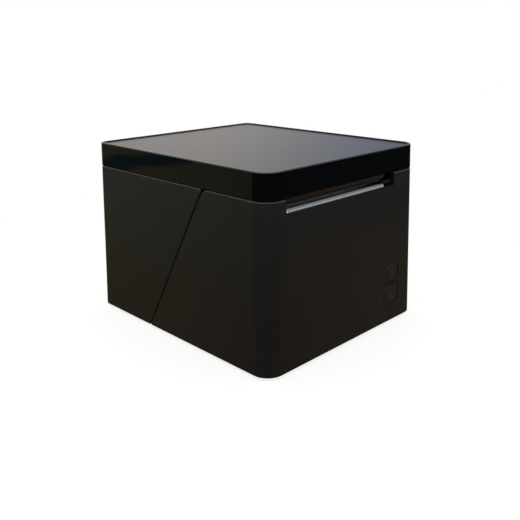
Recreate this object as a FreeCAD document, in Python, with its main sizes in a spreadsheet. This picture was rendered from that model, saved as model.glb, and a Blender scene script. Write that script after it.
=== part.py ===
import FreeCAD, Part
import math
import os
from types import SimpleNamespace

import Sketcher
from FreeCAD import Placement, Rotation, Vector

# Compact counter-top receipt printer for 80 mm paper rolls, in millimetres.
# +X is to the right seen from the front, the front faces -Y and +Z is up.
# The origin is on the table under the middle of the case.
# The case is as wide, deep and high as the stack of pieces inside it needs.

SIZES = {
    # paper and roll
    "paper_width": 80.0,
    "roll_diameter": 80.0,
    "roll_room": 5.0,
    "roll_side_room": 0.5,
    "roll_head_room": 5.0,
    "well_round": 40.0,
    "bucket_wall": 2.0,
    "deck_thickness": 2.0,
    "deck_drop": 5.0,
    # moulded case
    "wall": 2.5,
    "front_corner": 10.0,
    "rear_corner": 6.0,
    "edge_break": 0.5,
    "split_top": 48.8,
    "split_bottom": 100.0,
    "split_gap": 0.5,
    "split_front_round": 8.0,
    "split_rear_round": 1.5,
    "notch_depth": 7.5,
    "notch_end_gap": 0.5,
    "pocket_width": 9.5,
    "ledge_depth": 4.9,
    "ledge_slope": 0.7,
    # lid
    "lid_height": 14.5,
    "seam_gap": 0.5,
    "lid_wall": 2.4,
    "lid_top": 2.2,
    "rim_width": 1.6,
    "panel_recess": 1.4,
    "panel_thickness": 0.7,
    "lid_edge_round": 0.6,
    "lip_setback": 2.2,
    "lip_thickness": 1.6,
    "slot_height": 1.5,
    "liner_thickness": 2.0,
    "liner_rib_height": 2.9,
    "liner_rib_width": 2.0,
    # lid hinge
    "hinge_inset": 3.2,
    "hinge_drop": 6.5,
    "hinge_pin_diameter": 3.0,
    "ear_radius": 2.6,
    "ear_width": 8.0,
    "ear_spacing": 96.0,
    "ear_height": 4.4,
    "ear_step": 3.7,
    "ear_head_room": 0.6,
    "lug_width": 3.5,
    # base tray, feet and screws
    "foot_height": 1.6,
    "foot_diameter": 12.0,
    "foot_recess": 0.8,
    "foot_inset": 15.0,
    "floor_thickness": 2.4,
    "board_room": 8.5,
    "boss_radius": 4.5,
    "boss_height": 18.0,
    "boss_side_inset": 6.5,
    "boss_front_inset": 24.0,
    "boss_rear_inset": 6.5,
    "screw_diameter": 3.0,
    "screw_head_diameter": 5.6,
    "screw_head_height": 1.2,
    "screw_grip": 9.0,
    "pilot_depth": 5.0,
    # clearances
    "press_gap": 0.01,
    "run_gap": 0.05,
    "fit_gap": 0.15,
    "slide_gap": 0.3,
    "case_gap": 0.4,
    # tear bar
    "bar_length": 84.0,
    "bar_depth": 1.6,
    "bar_thickness": 0.85,
    "bar_overhang": 0.4,
    "tooth_pitch": 2.0,
    "tooth_depth": 0.8,
    # stack across the mechanism, from the left wall to the right wall
    "case_room_left": 1.5,
    "cutter_gear_width": 3.5,
    "gear_gap": 0.8,
    "sheet": 1.2,
    "cheek_outer_gap": 1.5,
    "cheek_thickness": 3.0,
    "cheek_gap": 2.0,
    "roller_overhang": 0.5,
    "latch_space": 2.0,
    "feed_gear_width": 5.0,
    "plate_gap": 2.5,
    "feed_motor_length": 15.0,
    "case_room_right": 1.8,
    # stack along the mechanism, from the front wall to the rear wall
    "blade_setback": 6.0,
    "blade_thickness": 1.0,
    "head_front_gap": 1.15,
    "head_length": 30.0,
    "nip_setback": 9.0,
    "ramp_gap": 1.0,
    "ramp_length": 15.0,
    "well_gap": 0.5,
    "rear_room": 2.0,
    # platen and print head
    "paper_rise": 2.4,
    "paper_gap": 0.15,
    "platen_diameter": 13.0,
    "platen_shaft_diameter": 5.0,
    "bush_diameter": 8.0,
    "bush_flange": 1.0,
    "cheek_radius": 6.0,
    "head_board": 1.2,
    "heater_height": 1.0,
    "heater_width": 4.0,
    "heat_sink_height": 5.0,
    "fin_pitch": 6.0,
    "fin_slot": 3.0,
    "fin_depth": 2.0,
    "rod_diameter": 3.0,
    "rod_inset": 3.0,
    "spring_room": 8.0,
    "spring_sheet": 0.6,
    "spring_width": 50.0,
    # feed gears
    "feed_module": 0.7,
    "platen_teeth": 20,
    "idler_teeth": 28,
    "feed_pinion_teeth": 14,
    "feed_motor_turn": 45.0,
    "feed_motor_diameter": 35.0,
    "motor_shaft_diameter": 2.0,
    "motor_boss_diameter": 8.0,
    "idler_post_diameter": 4.0,
    "backlash": 0.1,
    # cutter
    "blade_length": 83.0,
    "blade_drop": 2.2,
    "blade_vee": 2.0,
    "blade_height": 43.5,
    "fixed_blade_height": 9.0,
    "cutter_drop": 35.9,
    "cutter_module": 0.6,
    "rack_pinion_teeth": 18,
    "cutter_gear_teeth": 38,
    "cutter_pinion_teeth": 14,
    "cutter_motor_turn": 40.0,
    "cutter_motor_diameter": 18.0,
    "cutter_motor_length": 27.0,
    "cutter_motor_boss": 6.0,
    "cutter_shaft_diameter": 4.0,
    "rack_width": 5.0,
    "rack_inset": 3.5,
    "rack_teeth": 10,
    "carrier_thickness": 2.8,
    "carrier_height": 19.6,
    # cover latch
    "latch_plate": 1.4,
    "latch_pin_diameter": 3.0,
    "latch_drop": 8.9,
    "latch_tab_length": 3.0,
    "latch_tab_drop": 0.9,
    "latch_tab_thickness": 1.6,
    "latch_swing": 8.0,
    "latch_catch": 2.4,
    # buttons and status light
    "button_width": 12.4,
    "button_height": 10.0,
    "button_pitch": 13.4,
    "button_side_inset": 18.3,
    "button_base": 10.5,
    "button_round": 1.5,
    "button_recess": 0.1,
    "button_gap": 0.3,
    "button_flange": 1.2,
    "button_stem": 4.0,
    "button_travel": 0.8,
    "lens_diameter": 4.0,
    "lens_inset": 36.2,
    "lens_base": 14.4,
    "board_thickness": 1.6,
    "switch_size": 6.0,
    "switch_height": 3.0,
    "plunger_diameter": 3.4,
    "plunger_height": 0.9,
    # main board and rear sockets
    "standoff": 3.0,
    "main_board_depth": 37.2,
    "main_board_width": 102.0,
    "socket_depth": 18.0,
    "socket_recess": 0.3,
    "power_socket_width": 14.0,
    "power_socket_height": 13.0,
    "power_plug_diameter": 10.0,
    "drawer_socket_width": 13.2,
    "drawer_socket_height": 12.0,
    "usb_socket_width": 12.0,
    "usb_socket_height": 11.0,
    "lan_socket_width": 16.0,
    "lan_socket_height": 13.5,
    "socket_wall": 1.6,
    "socket_spacing": 25.0,
}

doc = FreeCAD.newDocument("receipt_printer")
sheet = doc.addObject("Spreadsheet::Sheet", "Sizes")
for row, (alias, number) in enumerate(SIZES.items(), start=1):
    sheet.set(f"A{row}", alias)
    sheet.set(f"B{row}", str(number))
    sheet.setAlias(f"B{row}", alias)
doc.recompute()


class Size:
    """A measure that carries its number and the cell expression behind it."""

    def __init__(self, value, text):
        self.value = float(value)
        self.text = text

    def __add__(self, other):
        other = measure(other)
        return Size(self.value + other.value, f"({self.text} + {other.text})")

    def __sub__(self, other):
        other = measure(other)
        return Size(self.value - other.value, f"({self.text} - {other.text})")

    def __mul__(self, other):
        other = measure(other)
        return Size(self.value * other.value, f"({self.text} * {other.text})")

    def __truediv__(self, other):
        other = measure(other)
        return Size(self.value / other.value, f"({self.text} / {other.text})")

    def __rsub__(self, other):
        return measure(other) - self

    def __neg__(self):
        return self * -1

    __radd__ = __add__
    __rmul__ = __mul__


def measure(number):
    return number if isinstance(number, Size) else Size(number, f"({float(number)})")


def larger(first, second):
    return Size(max(first.value, second.value), f"max({first.text}; {second.text})")


def smaller(first, second):
    return Size(min(first.value, second.value), f"min({first.text}; {second.text})")


def whole(amount):
    """How many times a pattern fits."""
    return Size(math.floor(amount.value + 0.001), f"floor({amount.text} + 0.001)")


def cosine(degrees):
    return Size(math.cos(math.radians(degrees.value)), f"cos({degrees.text})")


def sine(degrees):
    return Size(math.sin(math.radians(degrees.value)), f"sin({degrees.text})")


d = SimpleNamespace(**{alias: Size(sheet.get(alias), f"Sizes.{alias}") for alias in SIZES})


# Places across the printer, added up from the left wall to the right wall

# The cheeks stand clear of the longest of roller, blade and tear bar

roller_length = d.paper_width + d.roller_overhang * 2
cheek_room = larger(
    larger(roller_length + d.cheek_gap * 2, d.blade_length + d.cheek_gap), d.bar_length + d.cheek_gap / 2
)
left_stack = (
    d.wall + d.case_room_left + d.cutter_gear_width + d.gear_gap + d.sheet
    + d.cheek_outer_gap + d.cheek_thickness
)
right_stack = (
    d.cheek_thickness + d.latch_space + d.feed_gear_width + d.plate_gap
    + d.sheet + d.feed_motor_length + d.case_room_right + d.wall
)
width = left_stack + cheek_room + right_stack
left = width * -0.5
right = width * 0.5
paper_x = left + left_stack + cheek_room / 2
roller_left = paper_x - roller_length / 2
roller_right = paper_x + roller_length / 2
left_cheek_x = left + left_stack - d.cheek_thickness
right_cheek_x = left + left_stack + cheek_room
left_plate_x = left_cheek_x - d.cheek_outer_gap - d.sheet
cutter_gear_x = left_plate_x - d.gear_gap - d.cutter_gear_width
feed_gear_x = right_cheek_x + d.cheek_thickness + d.latch_space
right_plate_x = feed_gear_x + d.feed_gear_width + d.plate_gap
feed_motor_x = right_plate_x + d.sheet
bar_left = paper_x - d.bar_length / 2
bar_right = paper_x + d.bar_length / 2
notch_left = bar_left - d.notch_end_gap
notch_right = bar_right + d.pocket_width
well_left = roller_left - d.roll_side_room
well_right = roller_right + d.roll_side_room

# Places along the printer, added up from the front wall to the rear wall

well_length = d.roll_diameter + d.roll_room
depth = (
    d.wall + d.blade_setback + d.blade_thickness + d.fit_gap + d.sheet + d.head_front_gap
    + d.head_length + d.ramp_gap + d.ramp_length + d.well_gap + d.bucket_wall
    + well_length + d.bucket_wall + d.rear_room + d.wall
)
front = depth * -0.5
back = depth * 0.5
inner_front = front + d.wall
inner_back = back - d.wall
blade_y = inner_front + d.blade_setback
guide_y = blade_y + d.blade_thickness + d.fit_gap
head_front = guide_y + d.sheet + d.head_front_gap
nip_y = head_front + d.nip_setback
head_back = head_front + d.head_length
rod_y = head_back - d.rod_inset
ramp_front = head_back + d.ramp_gap
ramp_back = ramp_front + d.ramp_length
well_front = ramp_back + d.well_gap + d.bucket_wall
well_back = well_front + well_length
hinge_y = back - d.hinge_inset

# Heights, added up from the table to the rim of the lid

base_z = d.foot_height
floor_z = base_z + d.floor_thickness
well_z = floor_z + d.board_room + d.bucket_wall
liner_z = well_z + d.roll_diameter + d.roll_head_room + d.liner_rib_height
ceiling_z = liner_z + d.liner_thickness
panel_z = ceiling_z + d.lid_top
height = panel_z + d.panel_recess
seam_z = height - d.lid_height
case_top = seam_z - d.seam_gap
notch_z = case_top - d.notch_depth
paper_z = notch_z + d.paper_rise
deck_top = case_top - d.deck_drop
hinge_z = height - d.hinge_drop
platen_z = paper_z + d.paper_gap + d.platen_diameter / 2
head_z = paper_z - d.paper_gap - d.heater_height - d.head_board
heat_sink_z = head_z - d.heat_sink_height
rod_z = heat_sink_z + d.heat_sink_height / 2
lip_z = paper_z + d.slot_height

# Gear centres in the side view

platen_pitch = d.feed_module * d.platen_teeth / 2
idler_pitch = d.feed_module * d.idler_teeth / 2
feed_pinion_pitch = d.feed_module * d.feed_pinion_teeth / 2
idler_z = platen_z - platen_pitch - idler_pitch
feed_motor_y = nip_y + (idler_pitch + feed_pinion_pitch) * cosine(d.feed_motor_turn)
feed_motor_z = idler_z - (idler_pitch + feed_pinion_pitch) * sine(d.feed_motor_turn)
rack_pinion_pitch = d.cutter_module * d.rack_pinion_teeth / 2
cutter_gear_pitch = d.cutter_module * d.cutter_gear_teeth / 2
cutter_pinion_pitch = d.cutter_module * d.cutter_pinion_teeth / 2
TOOTH_TOP = 0.8
TOOTH_ROOT = 1.05
rack_root_y = blade_y + d.blade_thickness + d.carrier_thickness
rack_pitch_y = rack_root_y + d.cutter_module * TOOTH_ROOT
cutter_y = rack_pitch_y + rack_pinion_pitch
cutter_z = paper_z - d.cutter_drop
cutter_motor_y = cutter_y + (cutter_gear_pitch + cutter_pinion_pitch) * cosine(d.cutter_motor_turn)
cutter_motor_z = cutter_z - (cutter_gear_pitch + cutter_pinion_pitch) * sine(d.cutter_motor_turn)
chassis_z = cutter_motor_z - d.cutter_motor_diameter / 2 - d.gear_gap * 8
latch_front = front + d.ledge_depth + d.slide_gap
latch_y = latch_front + d.latch_pin_diameter * 0.8
latch_z = paper_z - d.latch_drop


# Drawing and modelling steps that every piece shares

def bind(feature, **amounts):
    """Tie properties to the sheet; a double underscore in a name stands for a dot."""
    for name, amount in amounts.items():
        feature.setExpression(name.replace("__", "."), measure(amount).text)


def new_body(label):
    piece = doc.addObject("PartDesign::Body", label)
    piece.Label = label
    return piece


def datum(body, role):
    return next(item for item in body.Origin.OriginFeatures if item.Role == role)


def sketch(body, name, plane, at=0.0):
    """An empty sketch on one of the body's origin planes, moved to the place `at` on its axis."""
    drawing = body.newObject("Sketcher::SketchObject", name)
    drawing.AttachmentSupport = [(datum(body, plane), "")]
    drawing.MapMode = "FlatFace"
    bind(drawing, AttachmentOffset__Base__z=-measure(at) if plane == "XZ_Plane" else at)
    return drawing


def tie(drawing, kind, *where, amount):
    """Add a dimension and bind it to the sheet."""
    index = drawing.addConstraint(Sketcher.Constraint(kind, *where, measure(amount).value))
    drawing.setExpression(f"Constraints[{index}]", measure(amount).text)


def place_point(drawing, geometry, position, x, y):
    tie(drawing, "DistanceX", -1, 1, geometry, position, amount=x)
    tie(drawing, "DistanceY", -1, 1, geometry, position, amount=y)


def outline(drawing, corners):
    """A closed outline, counter-clockwise; a corner (x, y, r) is rounded by a tangent arc."""
    points = [Vector(measure(c[0]).value, measure(c[1]).value, 0) for c in corners]
    radii = [measure(c[2]).value if len(c) > 2 else 0.0 for c in corners]
    count = len(corners)
    arrive, leave, bends = [], [], []
    for i, (point, radius) in enumerate(zip(points, radii)):
        back_way = (points[i - 1] - point).normalize()
        on_way = (points[(i + 1) % count] - point).normalize()
        half = back_way.getAngle(on_way) / 2
        reach = radius / math.tan(half)
        arrive.append(point + back_way * reach)
        leave.append(point + on_way * reach)
        middle = point + (back_way + on_way).normalize() * (radius / math.sin(half))
        bends.append((middle, on_way.cross(back_way).z > 0))
    lines = [
        drawing.addGeometry(Part.LineSegment(leave[i], arrive[(i + 1) % count]), False)
        for i in range(count)
    ]
    for i, corner in enumerate(corners):
        before, after = lines[i - 1], lines[i]
        if not radii[i]:
            drawing.addConstraint(Sketcher.Constraint("Coincident", before, 2, after, 1))
            place_point(drawing, after, 1, corner[0], corner[1])
            continue
        middle, convex = bends[i]
        first, last = (arrive[i], leave[i]) if convex else (leave[i], arrive[i])
        turn = [math.atan2((p - middle).y, (p - middle).x) for p in (first, last)]
        ring = Part.Circle(middle, Vector(0, 0, 1), radii[i])
        arc = drawing.addGeometry(Part.ArcOfCircle(ring, turn[0], turn[1]), False)
        start, end = (1, 2) if convex else (2, 1)
        drawing.addConstraint(Sketcher.Constraint("Tangent", before, 2, arc, start))
        drawing.addConstraint(Sketcher.Constraint("Tangent", arc, end, after, 1))
        tie(drawing, "Radius", arc, amount=corner[2])
        mark = drawing.addGeometry(Part.Point(points[i]), True)
        place_point(drawing, mark, 1, corner[0], corner[1])
        drawing.addConstraint(Sketcher.Constraint("PointOnObject", mark, 1, before))
        drawing.addConstraint(Sketcher.Constraint("PointOnObject", mark, 1, after))


def rectangle(drawing, x0, x1, y0, y1, radius=None):
    rounding = () if radius is None else (radius,)
    outline(drawing, [(x, y) + rounding for x, y in ((x0, y0), (x1, y0), (x1, y1), (x0, y1))])


def circle(drawing, x, y, radius):
    centre = Vector(measure(x).value, measure(y).value, 0)
    ring = Part.Circle(centre, Vector(0, 0, 1), measure(radius).value)
    index = drawing.addGeometry(ring, False)
    tie(drawing, "Radius", index, amount=radius)
    place_point(drawing, index, 3, x, y)


def looks_back(drawing):
    return drawing.AttachmentSupport[0][0].Role == "XZ_Plane"


def pad(body, drawing, length):
    """Solid from the sketch plane towards the positive end of its axis."""
    feature = body.newObject("PartDesign::Pad", drawing.Name + "_pad")
    feature.Profile = drawing
    feature.Reversed = looks_back(drawing)
    bind(feature, Length=length)
    doc.recompute()
    return feature


def cut(body, drawing, length):
    """Removed from the sketch plane towards the positive end of its axis."""
    before = body.Shape.Volume
    feature = body.newObject("PartDesign::Pocket", drawing.Name + "_cut")
    feature.Profile = drawing
    feature.Reversed = not looks_back(drawing)
    bind(feature, Length=length)
    doc.recompute()
    if not feature.Shape.Volume < before:
        raise ValueError(f"{feature.Name} removes nothing from {body.Label}")
    return feature


def mirror(body, features):
    """Repeat features on the other side of the middle plane."""
    copy = body.newObject("PartDesign::Mirrored", body.Label + "_mirror")
    copy.Originals = features
    copy.MirrorPlane = (datum(body, "YZ_Plane"), [""])
    body.Tip = copy
    doc.recompute()
    return copy


def row(body, features, axis, pitch, count):
    """Repeat features along an axis of the body."""
    copy = body.newObject("PartDesign::LinearPattern", body.Label + "_row")
    copy.Originals = features
    copy.Direction = (datum(body, axis), [""])
    copy.Mode = "Spacing"
    bind(copy, Offset=pitch, Occurrences=count)
    body.Tip = copy
    doc.recompute()
    return copy


def ease_edges(body, kind, amount, wanted):
    """Fillet or chamfer the edges of the body that `wanted` picks."""
    base = body.Tip
    names = [f"Edge{i}" for i, edge in enumerate(base.Shape.Edges, start=1) if wanted(edge)]
    feature = body.newObject("PartDesign::" + kind, f"{body.Label}_{kind.lower()}")
    feature.Base = (base, names)
    bind(feature, **{"Radius" if kind == "Fillet" else "Size": amount})
    doc.recompute()
    return feature


def rod(name, radius, x0, x1, y, z):
    """A round bar along X."""
    bar = doc.addObject("Part::Cylinder", name)
    bar.Label = name
    bar.Placement = Placement(Vector(), Rotation(Vector(0, 1, 0), 90))
    bind(bar, Radius=radius, Height=x1 - x0)
    bind(bar, Placement__Base__x=x0, Placement__Base__y=y, Placement__Base__z=z)
    return bar


def group(label, members):
    """Like pieces that share one node."""
    bundle = doc.addObject("Part::Compound", label)
    bundle.Label = label
    bundle.Links = members
    doc.recompute()
    return bundle


def join(label, members):
    whole = doc.addObject("Part::MultiFuse", label)
    whole.Label = label
    whole.Shapes = members
    doc.recompute()
    return whole


def take_away(label, base, tool):
    rest = doc.addObject("Part::Cut", label)
    rest.Label = label
    rest.Base = base
    rest.Tool = tool
    doc.recompute()
    return rest


def gear(name, teeth, module, x, y, z, length, bore, phase):
    """An involute spur gear along X; at phase 0 one tooth is centred on +Y."""
    count = round(teeth.value)
    pressure = math.radians(20)
    pitch = module.value * count / 2
    base = pitch * math.cos(pressure)
    tip = pitch + module.value * TOOTH_TOP
    root = pitch - module.value * TOOTH_ROOT
    half_tooth = math.pi / (2 * count) - d.backlash.value / (2 * pitch)

    def flank(radius):
        lean = math.acos(min(1.0, base / radius))
        return half_tooth + math.tan(pressure) - pressure - (math.tan(lean) - lean)

    def spot(radius, angle):
        return Vector(0, radius * math.cos(angle), radius * math.sin(angle))

    foot = max(base, root)
    middle = (foot + tip) / 2
    edges = []
    for index in range(count):
        centre = 2 * math.pi * index / count
        following = 2 * math.pi * (index + 1) / count
        rise = [spot(r, centre - flank(r)) for r in (foot, middle, tip)]
        fall = [spot(r, centre + flank(r)) for r in (tip, middle, foot)]
        low_start = spot(root, centre - flank(foot))
        low_end = spot(root, centre + flank(foot))
        next_low = spot(root, following - flank(foot))
        if root < base:
            edges.append(Part.LineSegment(low_start, rise[0]).toShape())
        edges.append(Part.Arc(*rise).toShape())
        edges.append(Part.LineSegment(rise[2], fall[0]).toShape())
        edges.append(Part.Arc(*fall).toShape())
        if root < base:
            edges.append(Part.LineSegment(fall[2], low_end).toShape())
        edges.append(Part.LineSegment(low_end, next_low).toShape())
    blank = Part.Face(Part.Wire(edges)).extrude(Vector(length.value, 0, 0))
    if bore is not None:
        hole = Part.makeCylinder(bore.value, length.value, Vector(), Vector(1, 0, 0))
        blank = blank.cut(hole)
    wheel = doc.addObject("Part::Feature", name)
    wheel.Label = name
    wheel.Shape = blank
    wheel.Placement = Placement(
        Vector(x.value, y.value, z.value), Rotation(Vector(1, 0, 0), math.degrees(phase))
    )
    return wheel


def mesh_phase(phase, pitch, direction, next_pitch, module):
    """Turn of the next gear so that its gap meets a tooth of the gear before it."""
    half_step = math.pi * module.value / 2
    slip = half_step - (phase - direction) * pitch.value
    return direction + math.pi + slip / next_pitch.value


# Front case: the moulded shell from the front wall round to the slanting seam on both sides

split_lean = (d.split_bottom - d.split_top) / (case_top - base_z)


def split_y(z):
    """Where the slanting seam is at a height."""
    return front + d.split_top + (case_top - z) * split_lean


def case_outline(drawing, inset):
    front_round = d.front_corner - inset
    rear_round = d.rear_corner - inset
    outline(drawing, [
        (left + inset, front + inset, front_round),
        (right - inset, front + inset, front_round),
        (right - inset, back - inset, rear_round),
        (left + inset, back - inset, rear_round),
    ])


def case_ring(body):
    """The whole wall of the case, before the seam divides it."""
    outer = sketch(body, body.Label + "_outer", "XY_Plane", base_z)
    case_outline(outer, measure(0.0))
    pad(body, outer, case_top - base_z)
    inner = sketch(body, body.Label + "_inner", "XY_Plane", base_z)
    case_outline(inner, d.wall)
    cut(body, inner, case_top - base_z)


def case_bosses(body, y):
    """Screw bosses that stand on the base tray, grown into the side walls."""
    drawing = sketch(body, body.Label + "_bosses", "XY_Plane", floor_z)
    for side in (-1, 1):
        circle(drawing, (right - d.boss_side_inset) * side, y, d.boss_radius)
    pad(body, drawing, d.boss_height)
    holes = sketch(body, body.Label + "_boss_holes", "XY_Plane", floor_z)
    for side in (-1, 1):
        circle(holes, (right - d.boss_side_inset) * side, y, d.screw_diameter / 2 + d.run_gap)
    cut(body, holes, d.screw_grip)


def on_seam_top(edge, y):
    """An edge that crosses a side wall at the top of the seam."""
    centre = edge.CenterOfMass
    near_wall = abs(centre.x) > (right - d.wall).value
    return near_wall and abs(centre.y - y) < 0.1 and abs(centre.z - case_top.value) < 0.1


def top_outer_edge(edge):
    """An edge along the outside of the case at its top."""
    box = edge.BoundBox
    outside = max(abs(box.XMin), abs(box.XMax)) > (right - 0.1).value
    outside = outside or box.YMin < (front + 0.1).value or box.YMax > (back - 0.1).value
    crossing = abs(edge.CenterOfMass.x) > (left * -1 - d.wall).value and box.YLength < 0.01
    return box.ZMin > (case_top - 0.01).value and outside and not crossing


button_right = right - d.button_side_inset
button_left = button_right - d.button_width
BUTTON_ROWS = {"power_button": 0, "feed_button": 1}
lens_x = right - d.lens_inset
lens_z = base_z + d.lens_base
switch_board_y = inner_front + d.button_flange + d.switch_height + d.plunger_height + d.button_stem * 0.75
switch_board_left = lens_x - d.lens_diameter / 2
switch_board_right = button_right + d.button_flange + d.screw_head_diameter
switch_board_z = base_z + d.button_base - d.button_flange * 5
switch_board_top = switch_board_z + d.button_pitch * 2 + d.button_flange * 4
POST_PLACES = [
    (lens_x, switch_board_z + d.screw_diameter),
    (switch_board_right - d.screw_diameter * 0.8, switch_board_z + d.button_pitch * 1.5),
]


def button_z(name):
    return base_z + d.button_base + d.button_pitch * BUTTON_ROWS[name]


def ledge_z(depth_in):
    """Height of the bed of the tear bar, which slopes up behind the front face."""
    return notch_z + d.ledge_slope * depth_in


def front_case():
    body = new_body("front_case")
    case_ring(body)
    seam = sketch(body, "front_seam", "YZ_Plane", left)
    half_gap = d.split_gap / 2
    outline(seam, [
        (split_y(base_z) - half_gap, base_z),
        (back, base_z),
        (back, case_top),
        (split_y(case_top) - half_gap, case_top),
    ])
    cut(body, seam, width)
    corner_y = (split_y(case_top) - half_gap).value
    ease_edges(body, "Fillet", d.split_front_round, lambda edge: on_seam_top(edge, corner_y))
    notch = sketch(body, "exit_notch", "XZ_Plane", front)
    rectangle(notch, notch_left, notch_right, notch_z, case_top)
    cut(body, notch, d.wall)
    ledge = sketch(body, "bar_ledge", "YZ_Plane", bar_left)
    half_wall = d.wall / 2
    heel = d.bar_overhang + d.bar_depth
    outline(ledge, [
        (front + half_wall, notch_z - half_wall),
        (inner_front, notch_z - d.ledge_depth),
        (front + d.ledge_depth, ledge_z(heel) - d.wall),
        (front + d.ledge_depth, ledge_z(heel)),
        (front + heel, ledge_z(heel)),
        (front + half_wall, ledge_z(half_wall)),
    ])
    pad(body, ledge, d.bar_length)
    holes = sketch(body, "button_holes", "XZ_Plane", front)
    for name in BUTTON_ROWS:
        rectangle(
            holes, button_left - d.button_gap, button_right + d.button_gap,
            button_z(name) - d.button_gap, button_z(name) + d.button_height + d.button_gap,
            d.button_round + d.button_gap,
        )
    circle(holes, lens_x, lens_z, d.lens_diameter / 2 + d.fit_gap)
    cut(body, holes, d.wall)
    posts = sketch(body, "board_posts", "XZ_Plane", inner_front - d.wall / 2)
    for x, z in POST_PLACES:
        circle(posts, x, z, d.screw_diameter * 0.8)
    pad(body, posts, switch_board_y - inner_front + d.wall / 2)
    case_bosses(body, front + d.boss_front_inset)
    ease_edges(body, "Chamfer", d.edge_break, top_outer_edge)
    return body


# Rear case: the shell behind the seam, with the hinge ears and the openings of the rear sockets

board_z = floor_z + d.standoff
socket_z = board_z + d.board_thickness
SOCKETS = {
    "power_socket": (-1.5, d.power_socket_width, d.power_socket_height),
    "drawer_socket": (-0.5, d.drawer_socket_width, d.drawer_socket_height),
    "usb_socket": (0.5, d.usb_socket_width, d.usb_socket_height),
    "lan_socket": (1.5, d.lan_socket_width, d.lan_socket_height),
}
ear_x = d.ear_spacing / 2 - d.ear_width / 2
pin_hole = d.hinge_pin_diameter / 2 + d.run_gap


def socket_x(name):
    return d.socket_spacing * SOCKETS[name][0] - d.socket_spacing * 0.4


def rear_case():
    body = new_body("rear_case")
    case_ring(body)
    seam = sketch(body, "rear_seam", "YZ_Plane", left)
    half_gap = d.split_gap / 2
    outline(seam, [
        (front, base_z),
        (split_y(base_z) + half_gap, base_z),
        (split_y(case_top) + half_gap, case_top),
        (front, case_top),
    ])
    cut(body, seam, width)
    corner_y = (split_y(case_top) + half_gap).value
    ease_edges(body, "Fillet", d.split_rear_round, lambda edge: on_seam_top(edge, corner_y))
    ease_edges(body, "Chamfer", d.edge_break, top_outer_edge)
    sweep = sketch(body, "lid_sweep", "YZ_Plane", left)
    skirt_reach = seam_z - hinge_z
    reach = Size(math.hypot(skirt_reach.value, d.hinge_inset.value),
                 f"sqrt({skirt_reach.text} ^ 2 + {d.hinge_inset.text} ^ 2)")
    circle(sweep, hinge_y, hinge_z, reach + d.slide_gap)
    cut(body, sweep, width)
    openings = sketch(body, "socket_openings", "XZ_Plane", inner_back)
    for name, (_, span, tall) in SOCKETS.items():
        rectangle(
            openings, socket_x(name) - span / 2 - d.slide_gap, socket_x(name) + span / 2 + d.slide_gap,
            socket_z - d.slide_gap, socket_z + tall + d.slide_gap,
        )
    cut(body, openings, d.wall)
    shelf = sketch(body, "deck_shelf", "YZ_Plane", ear_x * -1)
    shelf_z = deck_top - d.deck_thickness
    outline(shelf, [
        (inner_back - d.rear_room + d.case_gap, shelf_z - d.rear_room),
        (back - d.wall / 2, shelf_z - d.rear_room * 3),
        (back - d.wall / 2, shelf_z),
        (inner_back - d.rear_room + d.case_gap, shelf_z),
    ])
    pad(body, shelf, ear_x * 2)
    ear = sketch(body, "hinge_ear", "YZ_Plane", ear_x)
    outline(ear, [
        (hinge_y - d.ear_radius, case_top - d.ear_height),
        (back, case_top - d.ear_height),
        (back, hinge_z - d.ear_step - d.hinge_inset + d.ear_radius),
        (hinge_y + d.ear_radius, hinge_z - d.ear_step),
        (hinge_y + d.ear_radius, hinge_z + d.ear_radius, d.ear_radius * 0.95),
        (hinge_y - d.ear_radius, hinge_z + d.ear_radius, d.ear_radius * 0.95),
    ])
    ear_pad = pad(body, ear, d.ear_width)
    hole = sketch(body, "ear_hole", "YZ_Plane", ear_x)
    circle(hole, hinge_y, hinge_z, pin_hole)
    ear_hole = cut(body, hole, d.ear_width)
    mirror(body, [ear_pad, ear_hole])
    case_bosses(body, back - d.boss_rear_inset)
    return body


# Base tray: closes the case from below and carries boards, chassis and bucket

def corner_places(x_inset, y_inset):
    """The four places at the same distance from the sides, front and back."""
    return [
        (x, y) for x in (left + x_inset, right - x_inset) for y in (front + y_inset, back - y_inset)
    ]


BOSS_PLACES = [
    ((right - d.boss_side_inset) * side, y)
    for side in (-1, 1) for y in (front + d.boss_front_inset, back - d.boss_rear_inset)
]
FOOT_PLACES = corner_places(d.foot_inset, d.foot_inset)
main_board_left = socket_x("power_socket") - d.power_socket_width / 2
main_board_right = main_board_left + d.main_board_width
main_board_back = inner_back - d.slide_gap
main_board_front = main_board_back - d.main_board_depth
BOARD_PLACES = [
    (main_board_left + d.screw_head_diameter, main_board_front + d.screw_head_diameter),
    (main_board_right - d.screw_head_diameter, main_board_front + d.screw_head_diameter),
    (socket_x("power_socket") + d.socket_spacing / 2, main_board_back - d.screw_head_diameter * 2),
    (main_board_right - d.screw_head_diameter, main_board_back - d.screw_head_diameter * 2),
]
CHASSIS_PLACES = [
    (x, y)
    for x in (left_plate_x + d.screw_head_diameter * 1.5, right_plate_x - d.screw_head_diameter * 1.5)
    for y in (cutter_y + d.screw_head_diameter, ramp_back - d.screw_head_diameter)
]


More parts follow.
